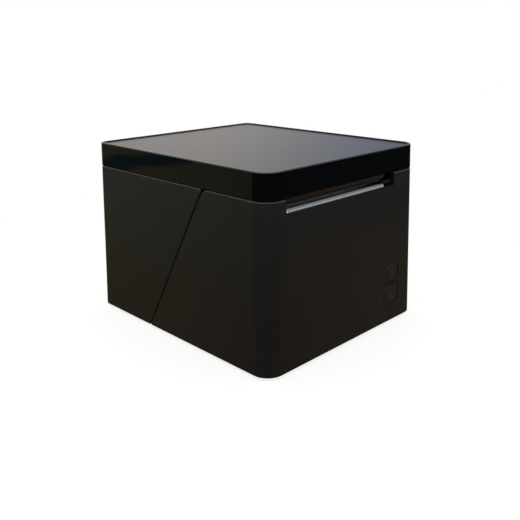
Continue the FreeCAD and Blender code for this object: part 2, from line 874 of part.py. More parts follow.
def base_tray():
    body = new_body("base_tray")
    plate = sketch(body, "tray_plate", "XY_Plane", base_z)
    case_outline(plate, d.wall + d.fit_gap)
    pad(body, plate, d.floor_thickness)
    recesses = sketch(body, "foot_recesses", "XY_Plane", base_z)
    for x, y in FOOT_PLACES:
        circle(recesses, x, y, d.foot_diameter / 2 + d.fit_gap)
    cut(body, recesses, d.foot_recess)
    heads = sketch(body, "screw_head_sinks", "XY_Plane", base_z)
    for x, y in BOSS_PLACES:
        circle(heads, x, y, d.screw_head_diameter / 2 + d.fit_gap)
    cut(body, heads, d.screw_head_height)
    holes = sketch(body, "screw_holes", "XY_Plane", base_z)
    for x, y in BOSS_PLACES:
        circle(holes, x, y, d.screw_diameter / 2 + d.fit_gap)
    cut(body, holes, d.floor_thickness)
    slot = sketch(body, "vent_slot", "XY_Plane", base_z)
    slot_half = d.roll_diameter / 8
    slot_y = front + d.split_top * 0.4
    rectangle(slot, slot_half * -1, slot_half, slot_y, slot_y + d.wall, d.wall * 0.49)
    vent = cut(body, slot, d.floor_thickness)
    row(body, [vent], "Y_Axis", d.wall * 2, 6)
    standoffs = sketch(body, "board_standoffs", "XY_Plane", floor_z - d.floor_thickness / 2)
    for x, y in BOARD_PLACES:
        circle(standoffs, x, y, d.screw_head_diameter / 2)
    pad(body, standoffs, d.standoff + d.floor_thickness / 2)
    board_pilots = sketch(body, "board_pilots", "XY_Plane", floor_z)
    for x, y in BOARD_PLACES:
        circle(board_pilots, x, y, d.screw_diameter / 2 + d.press_gap)
    cut(body, board_pilots, d.standoff)
    pillars = sketch(body, "chassis_pillars", "XY_Plane", floor_z - d.floor_thickness / 2)
    for x, y in CHASSIS_PLACES:
        circle(pillars, x, y, d.boss_radius)
    pad(body, pillars, chassis_z - floor_z + d.floor_thickness / 2)
    chassis_pilots = sketch(body, "chassis_pilots", "XY_Plane", chassis_z - d.pilot_depth)
    for x, y in CHASSIS_PLACES:
        circle(chassis_pilots, x, y, d.screw_diameter / 2 + d.press_gap)
    cut(body, chassis_pilots, d.pilot_depth)
    rests = sketch(body, "bucket_rests", "XY_Plane", floor_z - d.floor_thickness / 2)
    middle_y = (well_front + well_back) / 2
    for x in (paper_x - d.roll_diameter / 3, paper_x + d.roll_diameter / 3):
        rectangle(rests, x - d.wall, x + d.wall, middle_y - d.wall / 2, middle_y + d.wall / 2)
    pad(body, rests, d.board_room + d.floor_thickness / 2)
    return body


def rubber_feet():
    body = new_body("rubber_feet")
    drawing = sketch(body, "foot_discs", "XY_Plane")
    for x, y in FOOT_PLACES:
        circle(drawing, x, y, d.foot_diameter / 2)
    pad(body, drawing, d.foot_height + d.foot_recess)
    ease_edges(body, "Chamfer", d.foot_recess / 2, lambda edge: edge.BoundBox.ZMax < 0.01)
    return body


def screws(label, places, head_z, head_up, grip):
    """Upright screws: a low head, and a plain shank in place of the thread."""
    body = new_body(label)
    heads = sketch(body, label + "_heads", "XY_Plane", head_z)
    shank_z = head_z - grip if head_up else head_z
    shanks = sketch(body, label + "_shanks", "XY_Plane", shank_z)
    for x, y in places:
        circle(heads, x, y, d.screw_head_diameter / 2)
        circle(shanks, x, y, d.screw_diameter / 2)
    pad(body, heads, d.screw_head_height)
    pad(body, shanks, grip + d.screw_head_height)
    return body


# Lid: gloss cover with a raised rim, lip over the paper slot and lugs for the hinge

liner_front = blade_y - d.fit_gap - d.blade_thickness - d.liner_thickness
liner_left = left_cheek_x - d.cheek_thickness
liner_right = right_cheek_x + d.cheek_thickness
LINER_SCREWS = [
    (x, y)
    for x in (paper_x - roller_length * 0.375, paper_x + roller_length * 0.375)
    for y in (ramp_back, well_back - d.roll_diameter / 4)
]


def rim_edge(edge):
    box = edge.BoundBox
    outside = max(abs(box.XMin), abs(box.XMax)) > (right - 0.1).value
    outside = outside or box.YMin < (front + 0.1).value or box.YMax > (back - 0.1).value
    return box.ZMin > (height - 0.01).value and outside


def lid_cover():
    body = new_body("lid_cover")
    outer = sketch(body, "lid_outer", "XY_Plane", seam_z)
    case_outline(outer, measure(0.0))
    pad(body, outer, d.lid_height)
    hollow = sketch(body, "lid_hollow", "XY_Plane", seam_z)
    case_outline(hollow, d.lid_wall)
    cut(body, hollow, ceiling_z - seam_z)
    recess = sketch(body, "panel_recess", "XY_Plane", panel_z)
    case_outline(recess, d.rim_width)
    cut(body, recess, d.panel_recess)
    ease_edges(body, "Fillet", d.lid_edge_round, rim_edge)
    lip = sketch(body, "slot_lip", "YZ_Plane", notch_left + d.case_gap)
    lip_inner = front + d.lip_setback + d.lip_thickness
    outline(lip, [
        (front, seam_z),
        (front + d.lip_setback, lip_z),
        (lip_inner, lip_z),
        (lip_inner, seam_z + d.lid_wall),
        (front + d.lid_wall / 2, seam_z + d.lid_wall),
        (front + d.lid_wall / 2, seam_z),
    ])
    pad(body, lip, bar_right - notch_left - d.case_gap - d.bar_overhang)
    lug_reach = back - d.lid_wall / 2
    lug_z = hinge_z - d.ear_radius
    lugs = []
    for name, x in (("inner_lug", ear_x - d.slide_gap - d.lug_width),
                    ("outer_lug", ear_x + d.ear_width + d.slide_gap)):
        lug = sketch(body, name, "YZ_Plane", x)
        outline(lug, [
            (hinge_y - d.ear_radius, lug_z, d.ear_radius),
            (lug_reach, lug_z),
            (lug_reach, ceiling_z + d.lid_top / 2),
            (hinge_y - d.ear_radius, ceiling_z + d.lid_top / 2),
        ])
        lugs.append(pad(body, lug, d.lug_width))
    window = sketch(body, "ear_window", "YZ_Plane", ear_x - d.slide_gap)
    rectangle(window, back - d.lid_wall - d.fit_gap, back, seam_z, ceiling_z + d.ear_head_room)
    lugs.append(cut(body, window, d.ear_width + d.slide_gap * 2))
    hole = sketch(body, "lug_hole", "YZ_Plane", ear_x - d.slide_gap - d.lug_width)
    circle(hole, hinge_y, hinge_z, d.hinge_pin_diameter / 2 + d.press_gap)
    lugs.append(cut(body, hole, d.ear_width + d.slide_gap * 2 + d.lug_width * 2))
    mirror(body, lugs)
    pilots = sketch(body, "liner_pilots", "XY_Plane", ceiling_z)
    for x, y in LINER_SCREWS:
        circle(pilots, x, y, d.screw_diameter / 2 + d.press_gap)
    cut(body, pilots, d.lid_top / 2)
    return body


def lid_panel():
    body = new_body("lid_panel")
    drawing = sketch(body, "panel_sheet", "XY_Plane", panel_z)
    case_outline(drawing, d.rim_width + d.fit_gap)
    pad(body, drawing, d.panel_thickness)
    return body


def hinge_pins():
    pins = []
    for side in (-1, 1):
        middle = d.ear_spacing / 2 * side
        half = d.ear_width / 2 + d.slide_gap + d.lug_width
        pins.append(rod(f"hinge_pin_{'left' if side < 0 else 'right'}", d.hinge_pin_diameter / 2,
                        middle - half, middle + half, hinge_y, hinge_z))
    return group("hinge_pins", pins)


def lid_liner():
    """Inner frame of the lid: the cheeks that hold the platen, the blade wall and the roll ribs."""
    body = new_body("lid_liner")
    plate = sketch(body, "liner_plate", "XY_Plane", liner_z)
    rectangle(plate, liner_left, liner_right, liner_front, well_back - d.roll_diameter / 8)
    pad(body, plate, d.liner_thickness)
    window = sketch(body, "platen_window", "XY_Plane", liner_z)
    reach = d.platen_diameter / 2 + d.cheek_gap
    rectangle(window, roller_left - d.cheek_gap / 2, roller_right + d.cheek_gap / 2,
              nip_y - reach, nip_y + reach)
    cut(body, window, d.liner_thickness)
    wall = sketch(body, "blade_wall", "XY_Plane", lip_z + d.liner_thickness)
    rectangle(wall, liner_left, liner_right, liner_front, liner_front + d.liner_thickness)
    pad(body, wall, liner_z - lip_z)
    for name, x in (("left_cheek", left_cheek_x), ("right_cheek", right_cheek_x)):
        cheek = sketch(body, name, "YZ_Plane", x)
        outline(cheek, [
            (nip_y - d.cheek_radius, platen_z - d.cheek_radius, d.cheek_radius * 0.95),
            (nip_y + d.cheek_radius, platen_z - d.cheek_radius, d.cheek_radius * 0.95),
            (nip_y + d.cheek_radius, liner_z + d.liner_thickness),
            (nip_y - d.cheek_radius, liner_z + d.liner_thickness),
        ])
        pad(body, cheek, d.cheek_thickness)
    bores = sketch(body, "bush_bores", "YZ_Plane", left_cheek_x)
    circle(bores, nip_y, platen_z, d.bush_diameter / 2 + d.press_gap)
    cut(body, bores, right_cheek_x + d.cheek_thickness - left_cheek_x)
    rib = sketch(body, "roll_rib", "XY_Plane", liner_z - d.liner_rib_height)
    rib_left = paper_x - roller_length / 4 - d.liner_rib_width / 2
    rectangle(rib, rib_left, rib_left + d.liner_rib_width,
              nip_y + d.roll_diameter / 4, well_back - d.roll_diameter / 6)
    first_rib = pad(body, rib, d.liner_rib_height + d.liner_thickness / 2)
    row(body, [first_rib], "X_Axis", roller_length / 4, 3)
    holes = sketch(body, "liner_screw_holes", "XY_Plane", liner_z)
    for x, y in LINER_SCREWS:
        circle(holes, x, y, d.screw_diameter / 2 + d.run_gap)
    cut(body, holes, d.liner_thickness)
    return body


def fixed_blade():
    body = new_body("fixed_blade")
    drawing = sketch(body, "fixed_blade_sheet", "XZ_Plane", liner_front + d.liner_thickness)
    edge_z = lip_z + d.case_gap
    rectangle(drawing, paper_x - d.blade_length / 2, paper_x + d.blade_length / 2,
              edge_z, edge_z + d.fixed_blade_height)
    pad(body, drawing, d.blade_thickness)
    return body


# Platen: steel shaft with a rubber sleeve, turning in two bushes in the lid

shaft_left = left_plate_x + d.sheet + d.slide_gap
shaft_right = feed_gear_x + d.feed_gear_width
platen_bore = d.platen_shaft_diameter / 2 + d.press_gap


def platen_shaft():
    return rod("platen_shaft", d.platen_shaft_diameter / 2, shaft_left, shaft_right, nip_y, platen_z)


def platen_roller():
    sleeve = rod("sleeve", d.platen_diameter / 2, roller_left, roller_right, nip_y, platen_z)
    bore = rod("sleeve_bore", platen_bore, roller_left, roller_right, nip_y, platen_z)
    return take_away("platen_roller", sleeve, bore)


def platen_bushes():
    """Flanged bushes, pushed into the cheeks from the roller side."""
    bushes = []
    for side, cheek, flange in (
        ("left", left_cheek_x, left_cheek_x + d.cheek_thickness),
        ("right", right_cheek_x, right_cheek_x - d.bush_flange),
    ):
        barrel = rod(f"{side}_barrel", d.bush_diameter / 2, cheek, cheek + d.cheek_thickness, nip_y, platen_z)
        collar = rod(f"{side}_collar", d.bush_diameter / 2 + d.bush_flange,
                     flange, flange + d.bush_flange, nip_y, platen_z)
        bore = rod(f"{side}_bore", d.platen_shaft_diameter / 2 + d.run_gap,
                   cheek - d.bush_flange, cheek + d.cheek_thickness + d.bush_flange, nip_y, platen_z)
        blank = join(f"{side}_blank", [barrel, collar])
        bushes.append(take_away(f"{side}_bush", blank, bore))
    return group("platen_bushes", bushes)


# Feed train: motor pinion, idler on its post, gear on the end of the platen

PLATEN_PHASE = 0.0
IDLER_WAY = math.radians(-90)
IDLER_PHASE = mesh_phase(PLATEN_PHASE, platen_pitch, IDLER_WAY, idler_pitch, d.feed_module)
FEED_WAY = math.radians(-d.feed_motor_turn.value)
FEED_PHASE = mesh_phase(IDLER_PHASE, idler_pitch, FEED_WAY, feed_pinion_pitch, d.feed_module)


def platen_gear():
    return gear("platen_gear", d.platen_teeth, d.feed_module, feed_gear_x, nip_y, platen_z,
                d.feed_gear_width, platen_bore, PLATEN_PHASE)


def idler_gear():
    return gear("idler_gear", d.idler_teeth, d.feed_module, feed_gear_x, nip_y, idler_z,
                d.feed_gear_width, d.idler_post_diameter / 2 + d.run_gap, IDLER_PHASE)


def idler_post():
    """Post riveted in the right chassis plate, with a collar that keeps the idler on."""
    pin = rod("idler_pin", d.idler_post_diameter / 2, feed_gear_x - d.gear_gap, feed_motor_x, nip_y, idler_z)
    collar = rod("idler_collar", d.idler_post_diameter / 2 + d.gear_gap,
                 feed_gear_x + d.feed_gear_width + d.slide_gap, right_plate_x, nip_y, idler_z)
    return join("idler_post", [pin, collar])


def feed_pinion():
    """Pinion on the motor's own shaft."""
    shaft = rod("feed_shaft", d.motor_shaft_diameter / 2, feed_gear_x,
                feed_motor_x + d.feed_motor_length / 2, feed_motor_y, feed_motor_z)
    wheel = gear("feed_wheel", d.feed_pinion_teeth, d.feed_module, feed_gear_x, feed_motor_y, feed_motor_z,
                 d.feed_gear_width, None, FEED_PHASE)
    return join("feed_pinion", [shaft, wheel])


def feed_motor():
    """Flat stepper motor on the outside of the right plate, its boss through the plate."""
    body = new_body("feed_motor")
    can = sketch(body, "feed_can", "YZ_Plane", feed_motor_x)
    circle(can, feed_motor_y, feed_motor_z, d.feed_motor_diameter / 2)
    pad(body, can, d.feed_motor_length)
    ease_edges(body, "Chamfer", d.edge_break * 2,
               lambda edge: edge.BoundBox.XMin > (feed_motor_x + d.feed_motor_length / 2).value)
    boss = sketch(body, "feed_boss", "YZ_Plane", right_plate_x)
    circle(boss, feed_motor_y, feed_motor_z, d.motor_boss_diameter / 2)
    pad(body, boss, d.sheet * 2)
    bore = sketch(body, "feed_bore", "YZ_Plane", right_plate_x)
    circle(bore, feed_motor_y, feed_motor_z, d.motor_shaft_diameter / 2 + d.run_gap)
    cut(body, bore, d.feed_motor_length)
    return body


# Chassis: bent sheet steel, two side plates on a floor plate with a cross bar under the head

spring_floor = heat_sink_z - d.spring_room
bar_front = nip_y - d.rod_inset
guide_right = right_cheek_x + d.cheek_thickness - d.slide_gap
tongue_y = feed_motor_y + feed_pinion_pitch + d.feed_module + d.case_gap
chassis_front = inner_front + d.rear_room
chassis_step_z = cutter_z - d.boss_radius * 2


def print_chassis():
    body = new_body("print_chassis")
    plate_top = heat_sink_z + d.heat_sink_height
    step_y = head_front + d.boss_radius
    for name, x in (("left_plate", left_plate_x), ("right_plate", right_plate_x)):
        drawing = sketch(body, name, "YZ_Plane", x)
        outline(drawing, [
            (step_y, chassis_z),
            (ramp_back, chassis_z),
            (ramp_back, plate_top, d.boss_radius),
            (chassis_front, plate_top, d.boss_radius),
            (chassis_front, latch_z - d.boss_radius, d.boss_radius / 2),
            (step_y, chassis_step_z),
        ])
        pad(body, drawing, d.sheet)
    floor_plate = sketch(body, "floor_plate", "XY_Plane", chassis_z)
    rectangle(floor_plate, left_plate_x, right_plate_x + d.sheet, step_y, ramp_back)
    pad(body, floor_plate, d.sheet)
    bar = sketch(body, "cross_bar", "XY_Plane", spring_floor - d.sheet)
    outline(bar, [
        (left_plate_x, bar_front),
        (guide_right, bar_front),
        (guide_right, tongue_y),
        (right_plate_x + d.sheet, tongue_y),
        (right_plate_x + d.sheet, ramp_back - d.boss_radius),
        (left_plate_x, ramp_back - d.boss_radius),
    ])
    pad(body, bar, d.sheet)
    screw_holes = sketch(body, "pillar_holes", "XY_Plane", chassis_z)
    for x, y in CHASSIS_PLACES:
        circle(screw_holes, x, y, d.screw_diameter / 2 + d.fit_gap)
    cut(body, screw_holes, d.sheet)
    shaft_holes = sketch(body, "shaft_holes", "YZ_Plane", left_plate_x)
    circle(shaft_holes, cutter_y, cutter_z, d.cutter_shaft_diameter / 2 + d.run_gap)
    circle(shaft_holes, rod_y, rod_z, d.rod_diameter / 2 + d.press_gap)
    cut(body, shaft_holes, width)
    right_holes = sketch(body, "right_plate_holes", "YZ_Plane", right_plate_x)
    circle(right_holes, nip_y, idler_z, d.idler_post_diameter / 2 + d.press_gap)
    circle(right_holes, feed_motor_y, feed_motor_z, d.motor_boss_diameter / 2 + d.fit_gap)
    circle(right_holes, latch_y, latch_z, d.latch_pin_diameter / 2 + d.press_gap)
    cut(body, right_holes, d.sheet)
    left_holes = sketch(body, "left_plate_holes", "YZ_Plane", left_plate_x)
    circle(left_holes, cutter_motor_y, cutter_motor_z, d.cutter_motor_boss / 2 + d.fit_gap)
    cut(body, left_holes, d.sheet)
    return body


# Print head: ceramic board with a raised heater line on a finned heat sink that tilts on a rod

head_left = roller_left + d.roller_overhang
head_right = roller_right - d.roller_overhang


def print_head():
    body = new_body("print_head")
    drawing = sketch(body, "head_section", "YZ_Plane", head_left)
    top = head_z + d.head_board
    half = d.heater_width / 2
    outline(drawing, [
        (head_front, head_z),
        (nip_y + d.nip_setback, head_z),
        (nip_y + d.nip_setback, top),
        (nip_y + half, top),
        (nip_y + half * 0.5, top + d.heater_height),
        (nip_y - half * 0.5, top + d.heater_height),
        (nip_y - half, top),
        (head_front, top),
    ])
    pad(body, drawing, head_right - head_left)
    return body


def heat_sink():
    body = new_body("heat_sink")
    block = sketch(body, "sink_section", "YZ_Plane", head_left)
    rectangle(block, head_front, head_back, heat_sink_z, heat_sink_z + d.heat_sink_height)
    pad(body, block, head_right - head_left)
    slot = sketch(body, "fin_slot", "XY_Plane", heat_sink_z)
    slot_left = head_left + d.fin_pitch / 2
    rectangle(slot, slot_left, slot_left + d.fin_slot, head_front, rod_y - d.rod_diameter)
    first_slot = cut(body, slot, d.fin_depth)
    row(body, [first_slot], "X_Axis", d.fin_pitch, whole((head_right - head_left) / d.fin_pitch) - 1)
    bore = sketch(body, "rod_bore", "YZ_Plane", head_left)
    circle(bore, rod_y, rod_z, d.rod_diameter / 2 + d.run_gap)
    cut(body, bore, head_right - head_left)
    return body


def pivot_rod():
    return rod("pivot_rod", d.rod_diameter / 2, left_plate_x, feed_motor_x, rod_y, rod_z)


def head_spring():
    """Bent leaf of spring steel on the cross bar, pressing the heat sink up."""
    body = new_body("head_spring")
    drawing = sketch(body, "spring_section", "YZ_Plane", paper_x - d.spring_width / 2)
    top = heat_sink_z - d.slide_gap
    foot_back = rod_y - d.rod_inset
    foot_front = nip_y + d.rod_inset
    nose = head_front + d.nip_setback / 2
    outline(drawing, [
        (foot_front, spring_floor),
        (foot_back, spring_floor),
        (foot_back, spring_floor + d.spring_sheet),
        (foot_front + d.spring_sheet, spring_floor + d.spring_sheet),
        (nose + d.rod_inset, top),
        (nose, top),
        (nose, top - d.spring_sheet),
        (nose + d.rod_inset - d.spring_sheet, top - d.spring_sheet),
    ])
    pad(body, drawing, d.spring_width)
    return body


# Cutter: blade on a carrier with two racks, raised by a shaft with two pinions and a gear

blade_z = paper_z - d.blade_drop
carrier_left = paper_x - d.blade_length / 2 + d.rack_inset
carrier_right = paper_x + d.blade_length / 2 - d.rack_inset
carrier_z = cutter_z - d.carrier_height * 0.7
rack_step = d.cutter_module * math.pi
CUTTER_WAY = math.radians(-d.cutter_motor_turn.value)
CUTTER_PHASE = mesh_phase(0.0, cutter_gear_pitch, CUTTER_WAY, cutter_pinion_pitch, d.cutter_module)


def moving_blade():
    body = new_body("moving_blade")
    drawing = sketch(body, "moving_blade_sheet", "XZ_Plane", blade_y)
    outline(drawing, [
        (paper_x - d.blade_length / 2, blade_z - d.blade_height),
        (paper_x + d.blade_length / 2, blade_z - d.blade_height),
        (paper_x + d.blade_length / 2, blade_z),
        (paper_x, blade_z - d.blade_vee),
        (paper_x - d.blade_length / 2, blade_z),
    ])
    pad(body, drawing, d.blade_thickness)
    return body


def blade_carrier():
    body = new_body("blade_carrier")
    bar = sketch(body, "carrier_bar", "XZ_Plane", blade_y + d.blade_thickness)
    rectangle(bar, carrier_left, carrier_right, carrier_z, carrier_z + d.carrier_height)
    pad(body, bar, d.carrier_thickness)
    half_gap = rack_step / 4 + d.backlash / 2
    lean = math.tan(math.radians(20))
    root_half = rack_step / 2 - half_gap + d.cutter_module * (TOOTH_ROOT * lean)
    tip_half = rack_step / 2 - half_gap - d.cutter_module * (TOOTH_TOP * lean)
    first_z = cutter_z - rack_step * (measure(0.7) * d.rack_teeth - 0.5)
    teeth = []
    for name, x in (("left_rack", carrier_left), ("right_rack", carrier_right - d.rack_width)):
        tooth = sketch(body, name, "YZ_Plane", x)
        tip_y = rack_pitch_y + d.cutter_module * TOOTH_TOP
        outline(tooth, [
            (rack_root_y - d.backlash, first_z - root_half),
            (rack_root_y, first_z - root_half),
            (tip_y, first_z - tip_half),
            (tip_y, first_z + tip_half),
            (rack_root_y, first_z + root_half),
            (rack_root_y - d.backlash, first_z + root_half),
        ])
        teeth.append(pad(body, tooth, d.rack_width))
    row(body, teeth, "Z_Axis", rack_step, d.rack_teeth)
    return body


def blade_guide():
    """Angle of sheet steel on the cross bar; the blade slides along its upright."""
    body = new_body("blade_guide")
    drawing = sketch(body, "guide_sheet", "YZ_Plane", left_plate_x + d.sheet)
    top = blade_z - d.sheet
    outline(drawing, [
        (guide_y, spring_floor),
        (bar_front + d.rod_inset, spring_floor),
        (bar_front + d.rod_inset, spring_floor + d.sheet),
        (guide_y + d.sheet, spring_floor + d.sheet),
        (guide_y + d.sheet, top),
        (guide_y, top),
    ])
    pad(body, drawing, guide_right - left_plate_x - d.sheet)
    return body


def cutter_shaft():
    """Shaft through both plates with the two pinions of the racks cut from it."""
    bar = rod("cutter_bar", d.cutter_shaft_diameter / 2, cutter_gear_x, feed_motor_x, cutter_y, cutter_z)
    wheels = [
        gear(name, d.rack_pinion_teeth, d.cutter_module, x, cutter_y, cutter_z, d.rack_width, None, math.pi)
        for name, x in (("left_rack_pinion", carrier_left),
                        ("right_rack_pinion", carrier_right - d.rack_width))
    ]
    return join("cutter_shaft", [bar] + wheels)


def cutter_gear():
    return gear("cutter_gear", d.cutter_gear_teeth, d.cutter_module, cutter_gear_x, cutter_y, cutter_z,
                d.cutter_gear_width, d.cutter_shaft_diameter / 2 + d.press_gap, 0.0)


def cutter_pinion():
    shaft = rod("cutter_motor_shaft", d.motor_shaft_diameter / 2, cutter_gear_x,
                left_plate_x + d.sheet + d.cutter_motor_length / 2, cutter_motor_y, cutter_motor_z)
    wheel = gear("cutter_wheel", d.cutter_pinion_teeth, d.cutter_module, cutter_gear_x,
                 cutter_motor_y, cutter_motor_z, d.cutter_gear_width, None, CUTTER_PHASE)
    return join("cutter_pinion", [shaft, wheel])


def cutter_motor():
    """Small round motor with two flats, its boss through the left plate."""
    body = new_body("cutter_motor")
    mount_x = left_plate_x + d.sheet
    can = sketch(body, "cutter_can", "YZ_Plane", mount_x)
    circle(can, cutter_motor_y, cutter_motor_z, d.cutter_motor_diameter / 2)
    pad(body, can, d.cutter_motor_length)
    flats = sketch(body, "cutter_flats", "YZ_Plane", mount_x)
    flat = d.cutter_motor_diameter * 0.375
    radius = d.cutter_motor_diameter / 2
    for low, high in ((cutter_motor_z - radius, cutter_motor_z - flat),
                      (cutter_motor_z + flat, cutter_motor_z + radius)):
        rectangle(flats, cutter_motor_y - radius, cutter_motor_y + radius, low, high)
    cut(body, flats, d.cutter_motor_length)
    boss = sketch(body, "cutter_boss", "YZ_Plane", left_plate_x)
    circle(boss, cutter_motor_y, cutter_motor_z, d.cutter_motor_boss / 2)
    pad(body, boss, d.sheet * 2)
    bore = sketch(body, "cutter_bore", "YZ_Plane", left_plate_x)
    circle(bore, cutter_motor_y, cutter_motor_z, d.motor_shaft_diameter / 2 + d.run_gap)
    cut(body, bore, d.cutter_motor_length)
    return body


# Tear bar: serrated steel strip on the sloping ledge of the front case

def tear_bar():
    body = new_body("tear_bar")
    drawing = sketch(body, "bar_section", "YZ_Plane", bar_left)
    tip = d.bar_overhang
    heel = d.bar_overhang + d.bar_depth
    outline(drawing, [
        (front + tip, ledge_z(tip)),
        (front + heel, ledge_z(heel)),
        (front + heel, ledge_z(heel) + d.bar_thickness),
        (front + tip, ledge_z(tip) + d.bar_thickness),
    ])
    pad(body, drawing, d.bar_length)
    notch = sketch(body, "bar_tooth_gap", "XY_Plane", notch_z)
    first = bar_left + d.tooth_pitch / 2
    outline(notch, [
        (first - d.tooth_depth * 0.8, front),
        (first + d.tooth_depth * 0.8, front),
        (first, front + tip + d.tooth_depth),
    ])
    gap = cut(body, notch, d.notch_depth)
    row(body, [gap], "X_Axis", d.tooth_pitch, whole(d.bar_length / d.tooth_pitch))
    return body


# Paper ramp between the bucket and the head, with the paper sensor set in it

sensor_half = d.paper_width / 32
sensor_depth = d.ramp_length / 3


def paper_ramp():
    body = new_body("paper_ramp")
    drawing = sketch(body, "ramp_section", "YZ_Plane", left_plate_x + d.sheet + d.fit_gap)
    top = paper_z - d.paper_gap * 4
    outline(drawing, [
        (ramp_front, top - d.deck_thickness),
        (ramp_back - d.deck_thickness * 2, top - d.deck_thickness),
        (ramp_back - d.deck_thickness, top - d.ramp_length / 2),
        (ramp_back, top - d.ramp_length / 2),
        (ramp_back, top, d.deck_thickness * 2),
        (ramp_front, top),
    ])
    pad(body, drawing, right_plate_x - left_plate_x - d.sheet - d.fit_gap * 2)
    seat = sketch(body, "sensor_seat", "XY_Plane", top - d.deck_thickness)
    rectangle(seat, paper_x - sensor_half, paper_x + sensor_half,
              ramp_front + sensor_depth / 2, ramp_front + sensor_depth * 1.5)
    cut(body, seat, d.deck_thickness)
    return body


def paper_sensor():
    body = new_body("paper_sensor")
    top = paper_z - d.paper_gap * 5
    drawing = sketch(body, "sensor_block", "XY_Plane", top - d.deck_thickness * 2)
    rectangle(drawing, paper_x - sensor_half + d.fit_gap, paper_x + sensor_half - d.fit_gap,
              ramp_front + sensor_depth / 2 + d.fit_gap, ramp_front + sensor_depth * 1.5 - d.fit_gap)
    pad(body, drawing, d.deck_thickness * 2)
    return body


# Paper bucket: round-bottomed well for the roll, with a deck that reaches the case walls

well_radius = smaller(d.well_round, well_length * 0.48)


def well_section(drawing, grow):
    outline(drawing, [
        (well_front - grow, well_z - grow, well_radius + grow),
        (well_back + grow, well_z - grow, well_radius + grow),
        (well_back + grow, deck_top),
        (well_front - grow, deck_top),
    ])


def paper_bucket():
    body = new_body("paper_bucket")
    outer = sketch(body, "bucket_outer", "YZ_Plane", well_left - d.bucket_wall)
    well_section(outer, d.bucket_wall)
    pad(body, outer, well_right - well_left + d.bucket_wall * 2)
    deck = sketch(body, "bucket_deck", "XY_Plane", deck_top - d.deck_thickness)
    edge = d.wall + d.case_gap
    inner_round = d.front_corner - edge
    arm_back = well_front - d.bucket_wall
    arm_left = left_plate_x - d.gear_gap
    arm_right = feed_motor_x + d.gear_gap
    outline(deck, [
        (left + edge, front + d.front_corner),
        (arm_left, front + d.front_corner),
        (arm_left, arm_back),
        (arm_right, arm_back),
        (arm_right, front + edge),
        (right - edge, front + edge, inner_round),
        (right - edge, back - edge, d.rear_corner - edge),
        (left + edge, back - edge, d.rear_corner - edge),
    ])
    pad(body, deck, d.deck_thickness)
    inner = sketch(body, "bucket_inner", "YZ_Plane", well_left)
    well_section(inner, measure(0.0))
    cut(body, inner, well_right - well_left)
    return body


# Cover latch: lever with a finger tab in the pocket and a hook over the platen shaft

latch_x = right_cheek_x + d.cheek_thickness + d.slide_gap


def latch_lever():
    body = new_body("latch_lever")
    plate = sketch(body, "latch_plate", "YZ_Plane", latch_x)
    pin = d.latch_pin_diameter / 2
    shaft = d.platen_shaft_diameter / 2
    tab_z = paper_z - d.latch_tab_drop
    nose_y = nip_y - shaft - d.slide_gap * 2
    swing = sine(d.latch_swing)
    hook_y = nose_y - (platen_z - latch_z) * swing
    hook_z = platen_z + shaft + d.slide_gap + (nose_y - latch_y) * swing + d.slide_gap
    nose_z = hook_z + d.latch_plate
    outline(plate, [
        (latch_front, latch_z - pin * 2),
        (latch_y + pin * 2, latch_z - pin * 2, pin),
        (hook_y, platen_z - shaft * 2),
        (hook_y, hook_z),
        (nose_y, hook_z),
        (nose_y, nose_z),
        (hook_y - d.latch_catch, nose_z, d.latch_plate),
        (hook_y - d.latch_catch * 1.2, platen_z - shaft * 1.6),
        (latch_y + pin, tab_z + d.latch_tab_thickness),
        (latch_front, tab_z + d.latch_tab_thickness),
    ])
    pad(body, plate, d.latch_plate)
    tab = sketch(body, "latch_tab", "XY_Plane", tab_z)
    rectangle(tab, bar_right + d.slide_gap * 2, notch_right - d.slide_gap * 2,
              latch_front - d.latch_tab_length, latch_front + d.latch_plate / 2)
    pad(body, tab, d.latch_tab_thickness)
    bore = sketch(body, "latch_bore", "YZ_Plane", latch_x)
    circle(bore, latch_y, latch_z, pin + d.run_gap)
    cut(body, bore, d.latch_plate)
    return body


def latch_pin():
    pin = rod("latch_rod", d.latch_pin_diameter / 2, latch_x - d.gear_gap, feed_motor_x, latch_y, latch_z)
    collar = rod("latch_collar", d.latch_pin_diameter / 2 + d.gear_gap,
                 latch_x + d.latch_plate + d.slide_gap, right_plate_x, latch_y, latch_z)
    return join("latch_pin", [pin, collar])


# Buttons, light pipe and the small board with their switches behind the front wall

def button(name):
    body = new_body(name)
    z = button_z(name)
    cap = sketch(body, name + "_cap", "XZ_Plane", front + d.button_recess)
    rectangle(cap, button_left, button_right, z, z + d.button_height, d.button_round)
    flange_y = inner_front + d.button_gap
    pad(body, cap, flange_y - front)
    flange = sketch(body, name + "_flange", "XZ_Plane", flange_y)
    grow = d.button_flange
    rectangle(flange, button_left - grow, button_right + grow, z - grow, z + d.button_height + grow)
    pad(body, flange, d.button_flange)
    stem = sketch(body, name + "_stem", "XZ_Plane", flange_y)
    circle(stem, (button_left + button_right) / 2, z + d.button_height / 2, d.button_stem / 2)
    plunger_y = switch_board_y - d.switch_height - d.plunger_height
    pad(body, stem, plunger_y - flange_y - d.button_travel - d.fit_gap)
    ease_edges(body, "Fillet", d.button_gap,
               lambda edge: edge.BoundBox.YMax < (front + d.button_recess + 0.01).value)
    return body


def status_lens():
    """Light pipe from the board to the front face, with a collar behind the wall."""
    body = new_body("status_lens")
    stem = sketch(body, "lens_stem", "XZ_Plane", front + d.button_recess)
    circle(stem, lens_x, lens_z, d.lens_diameter / 2)
    pad(body, stem, switch_board_y - front - d.button_recess - d.slide_gap)
    collar = sketch(body, "lens_collar", "XZ_Plane", inner_front)
    circle(collar, lens_x, lens_z, d.lens_diameter / 2 + d.button_gap * 2)
    pad(body, collar, d.button_flange)
    return body


